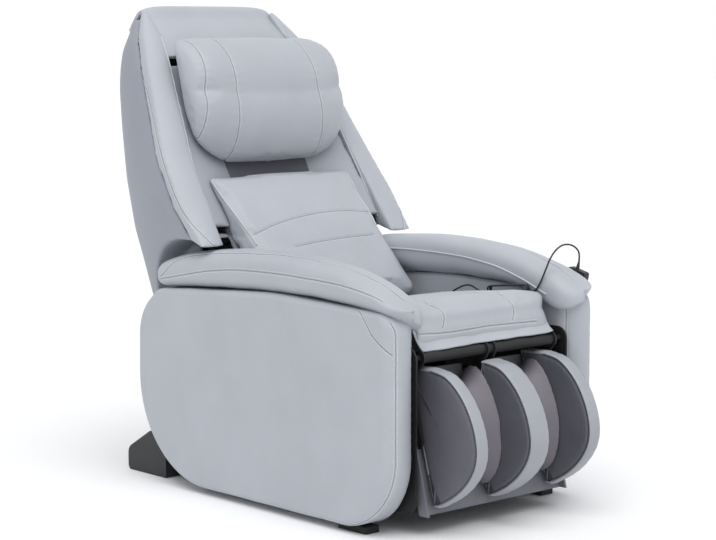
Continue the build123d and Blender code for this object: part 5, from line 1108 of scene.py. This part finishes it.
# The pads' top end rises; their thickness is drawn back to a share, with a groove down each middle
PAD_RISE, RISE_FROM, RISE_OVER = 0.020, 0.24, 0.07
THICKNESS_SHARE = 0.62
GROOVE_DEPTH, GROOVE_WIDTH = 0.014, 0.026
calf_pads = even_skin("calf_pads", "calf_pads_cover", 0.004, 6, MAUVE_LEATHER)
subdivide(calf_pads)
x, y, z = rows_of(calf_pads.data.vertices, "co").T
z = z + PAD_RISE * np.clip((z - RISE_FROM) / RISE_OVER, 0.0, 1.0) ** 2
tray_line = TRAY_TOP_Y - TRAY_SLOPE * (TRAY_TOP - z)
groove = GROOVE_DEPTH * np.exp(-(((np.abs(x) - CALF_MIDDLE) / GROOVE_WIDTH) ** 2))
move_to(calf_pads.data, np.stack([x, tray_line + (y - tray_line) * THICKNESS_SHARE + groove, z], axis=1))
calf_seams = [
    cast_seam(calf_pads, [(x, -0.6, z) for z in (0.3, 0.24, 0.17, 0.1)], REARWARD) for x in (-CALF_MIDDLE, CALF_MIDDLE)
]
dark_seam = {"rows": (), "thread": DARK_THREAD, "parting": 0.0011}
finish_pad(calf_pads, "calf_rest", 0.9, calf_seams, "calf_pads_stitching", **dark_seam)

# ---------------- room, light and camera

FLOOR_REACH, FLOOR_HEIGHT = 30.0, -0.0005
SKY_STRENGTH = 0.58
SUN_FROM, SUN_STRENGTH, SUN_ANGLE = Vector((-0.28, -0.34, 1.0)), 1.88, math.radians(60.0)
WHITE = (1.0, 1.0, 1.0, 1.0)


def place_floor():
    corners = [(x * FLOOR_REACH, y * FLOOR_REACH, FLOOR_HEIGHT) for x, y in ((-1, -1), (1, -1), (1, 1), (-1, 1))]
    made, tree, _ = blank_material("studio_floor")
    shade(tree, Base_Color=(0.97, 0.97, 0.97, 1.0), Roughness=0.9)
    new_piece("studio_floor", np.array(corners), [[0, 1, 2, 3]], made, smooth=False)


def light_room():
    """An even pale sky, a white view behind, and one broad soft light from overhead in front."""
    world = bpy.data.worlds.new("studio_air")
    scene.world = world
    world.use_nodes = True
    tree = world.node_tree
    tree.nodes.clear()
    path = add_node(tree, "ShaderNodeLightPath", {})
    seen = path["Is Camera Ray"]
    for kind in ("Is Glossy Ray", "Is Transmission Ray"):
        seen = add_node(tree, "ShaderNodeMath", {0: seen, 1: path[kind]}, operation="MAXIMUM")[0]
    sky = add_node(tree, "ShaderNodeBackground", {"Color": (0.95, 0.97, 1.0, 1.0), "Strength": SKY_STRENGTH})
    white = add_node(tree, "ShaderNodeBackground", {"Color": WHITE, "Strength": 1.0})
    mix = add_node(tree, "ShaderNodeMixShader", {0: seen, 1: sky[0], 2: white[0]})
    add_node(tree, "ShaderNodeOutputWorld", {"Surface": mix[0]})
    lamp = bpy.data.lights.new("overhead_light", "SUN")
    lamp.energy = SUN_STRENGTH
    lamp.angle = SUN_ANGLE
    holder = in_scene("overhead_light", lamp)
    holder.location = SUN_FROM * 3.0
    holder.rotation_euler = (-SUN_FROM).to_track_quat("-Z", "Y").to_euler()


def place_camera():
    lens = bpy.data.cameras.new("front_corner_view")
    lens.sensor_width = SENSOR_WIDTH
    lens.lens = SENSOR_WIDTH * FOCAL_PIXELS / PICTURE[0]
    lens.clip_end = 60.0
    holder = in_scene("front_corner_view", lens)
    holder.location = CAMERA_PLACE
    holder.rotation_euler = CAMERA_ANGLES
    scene.camera = holder


place_floor()
light_room()
place_camera()
scene.view_settings.view_transform = "Standard"
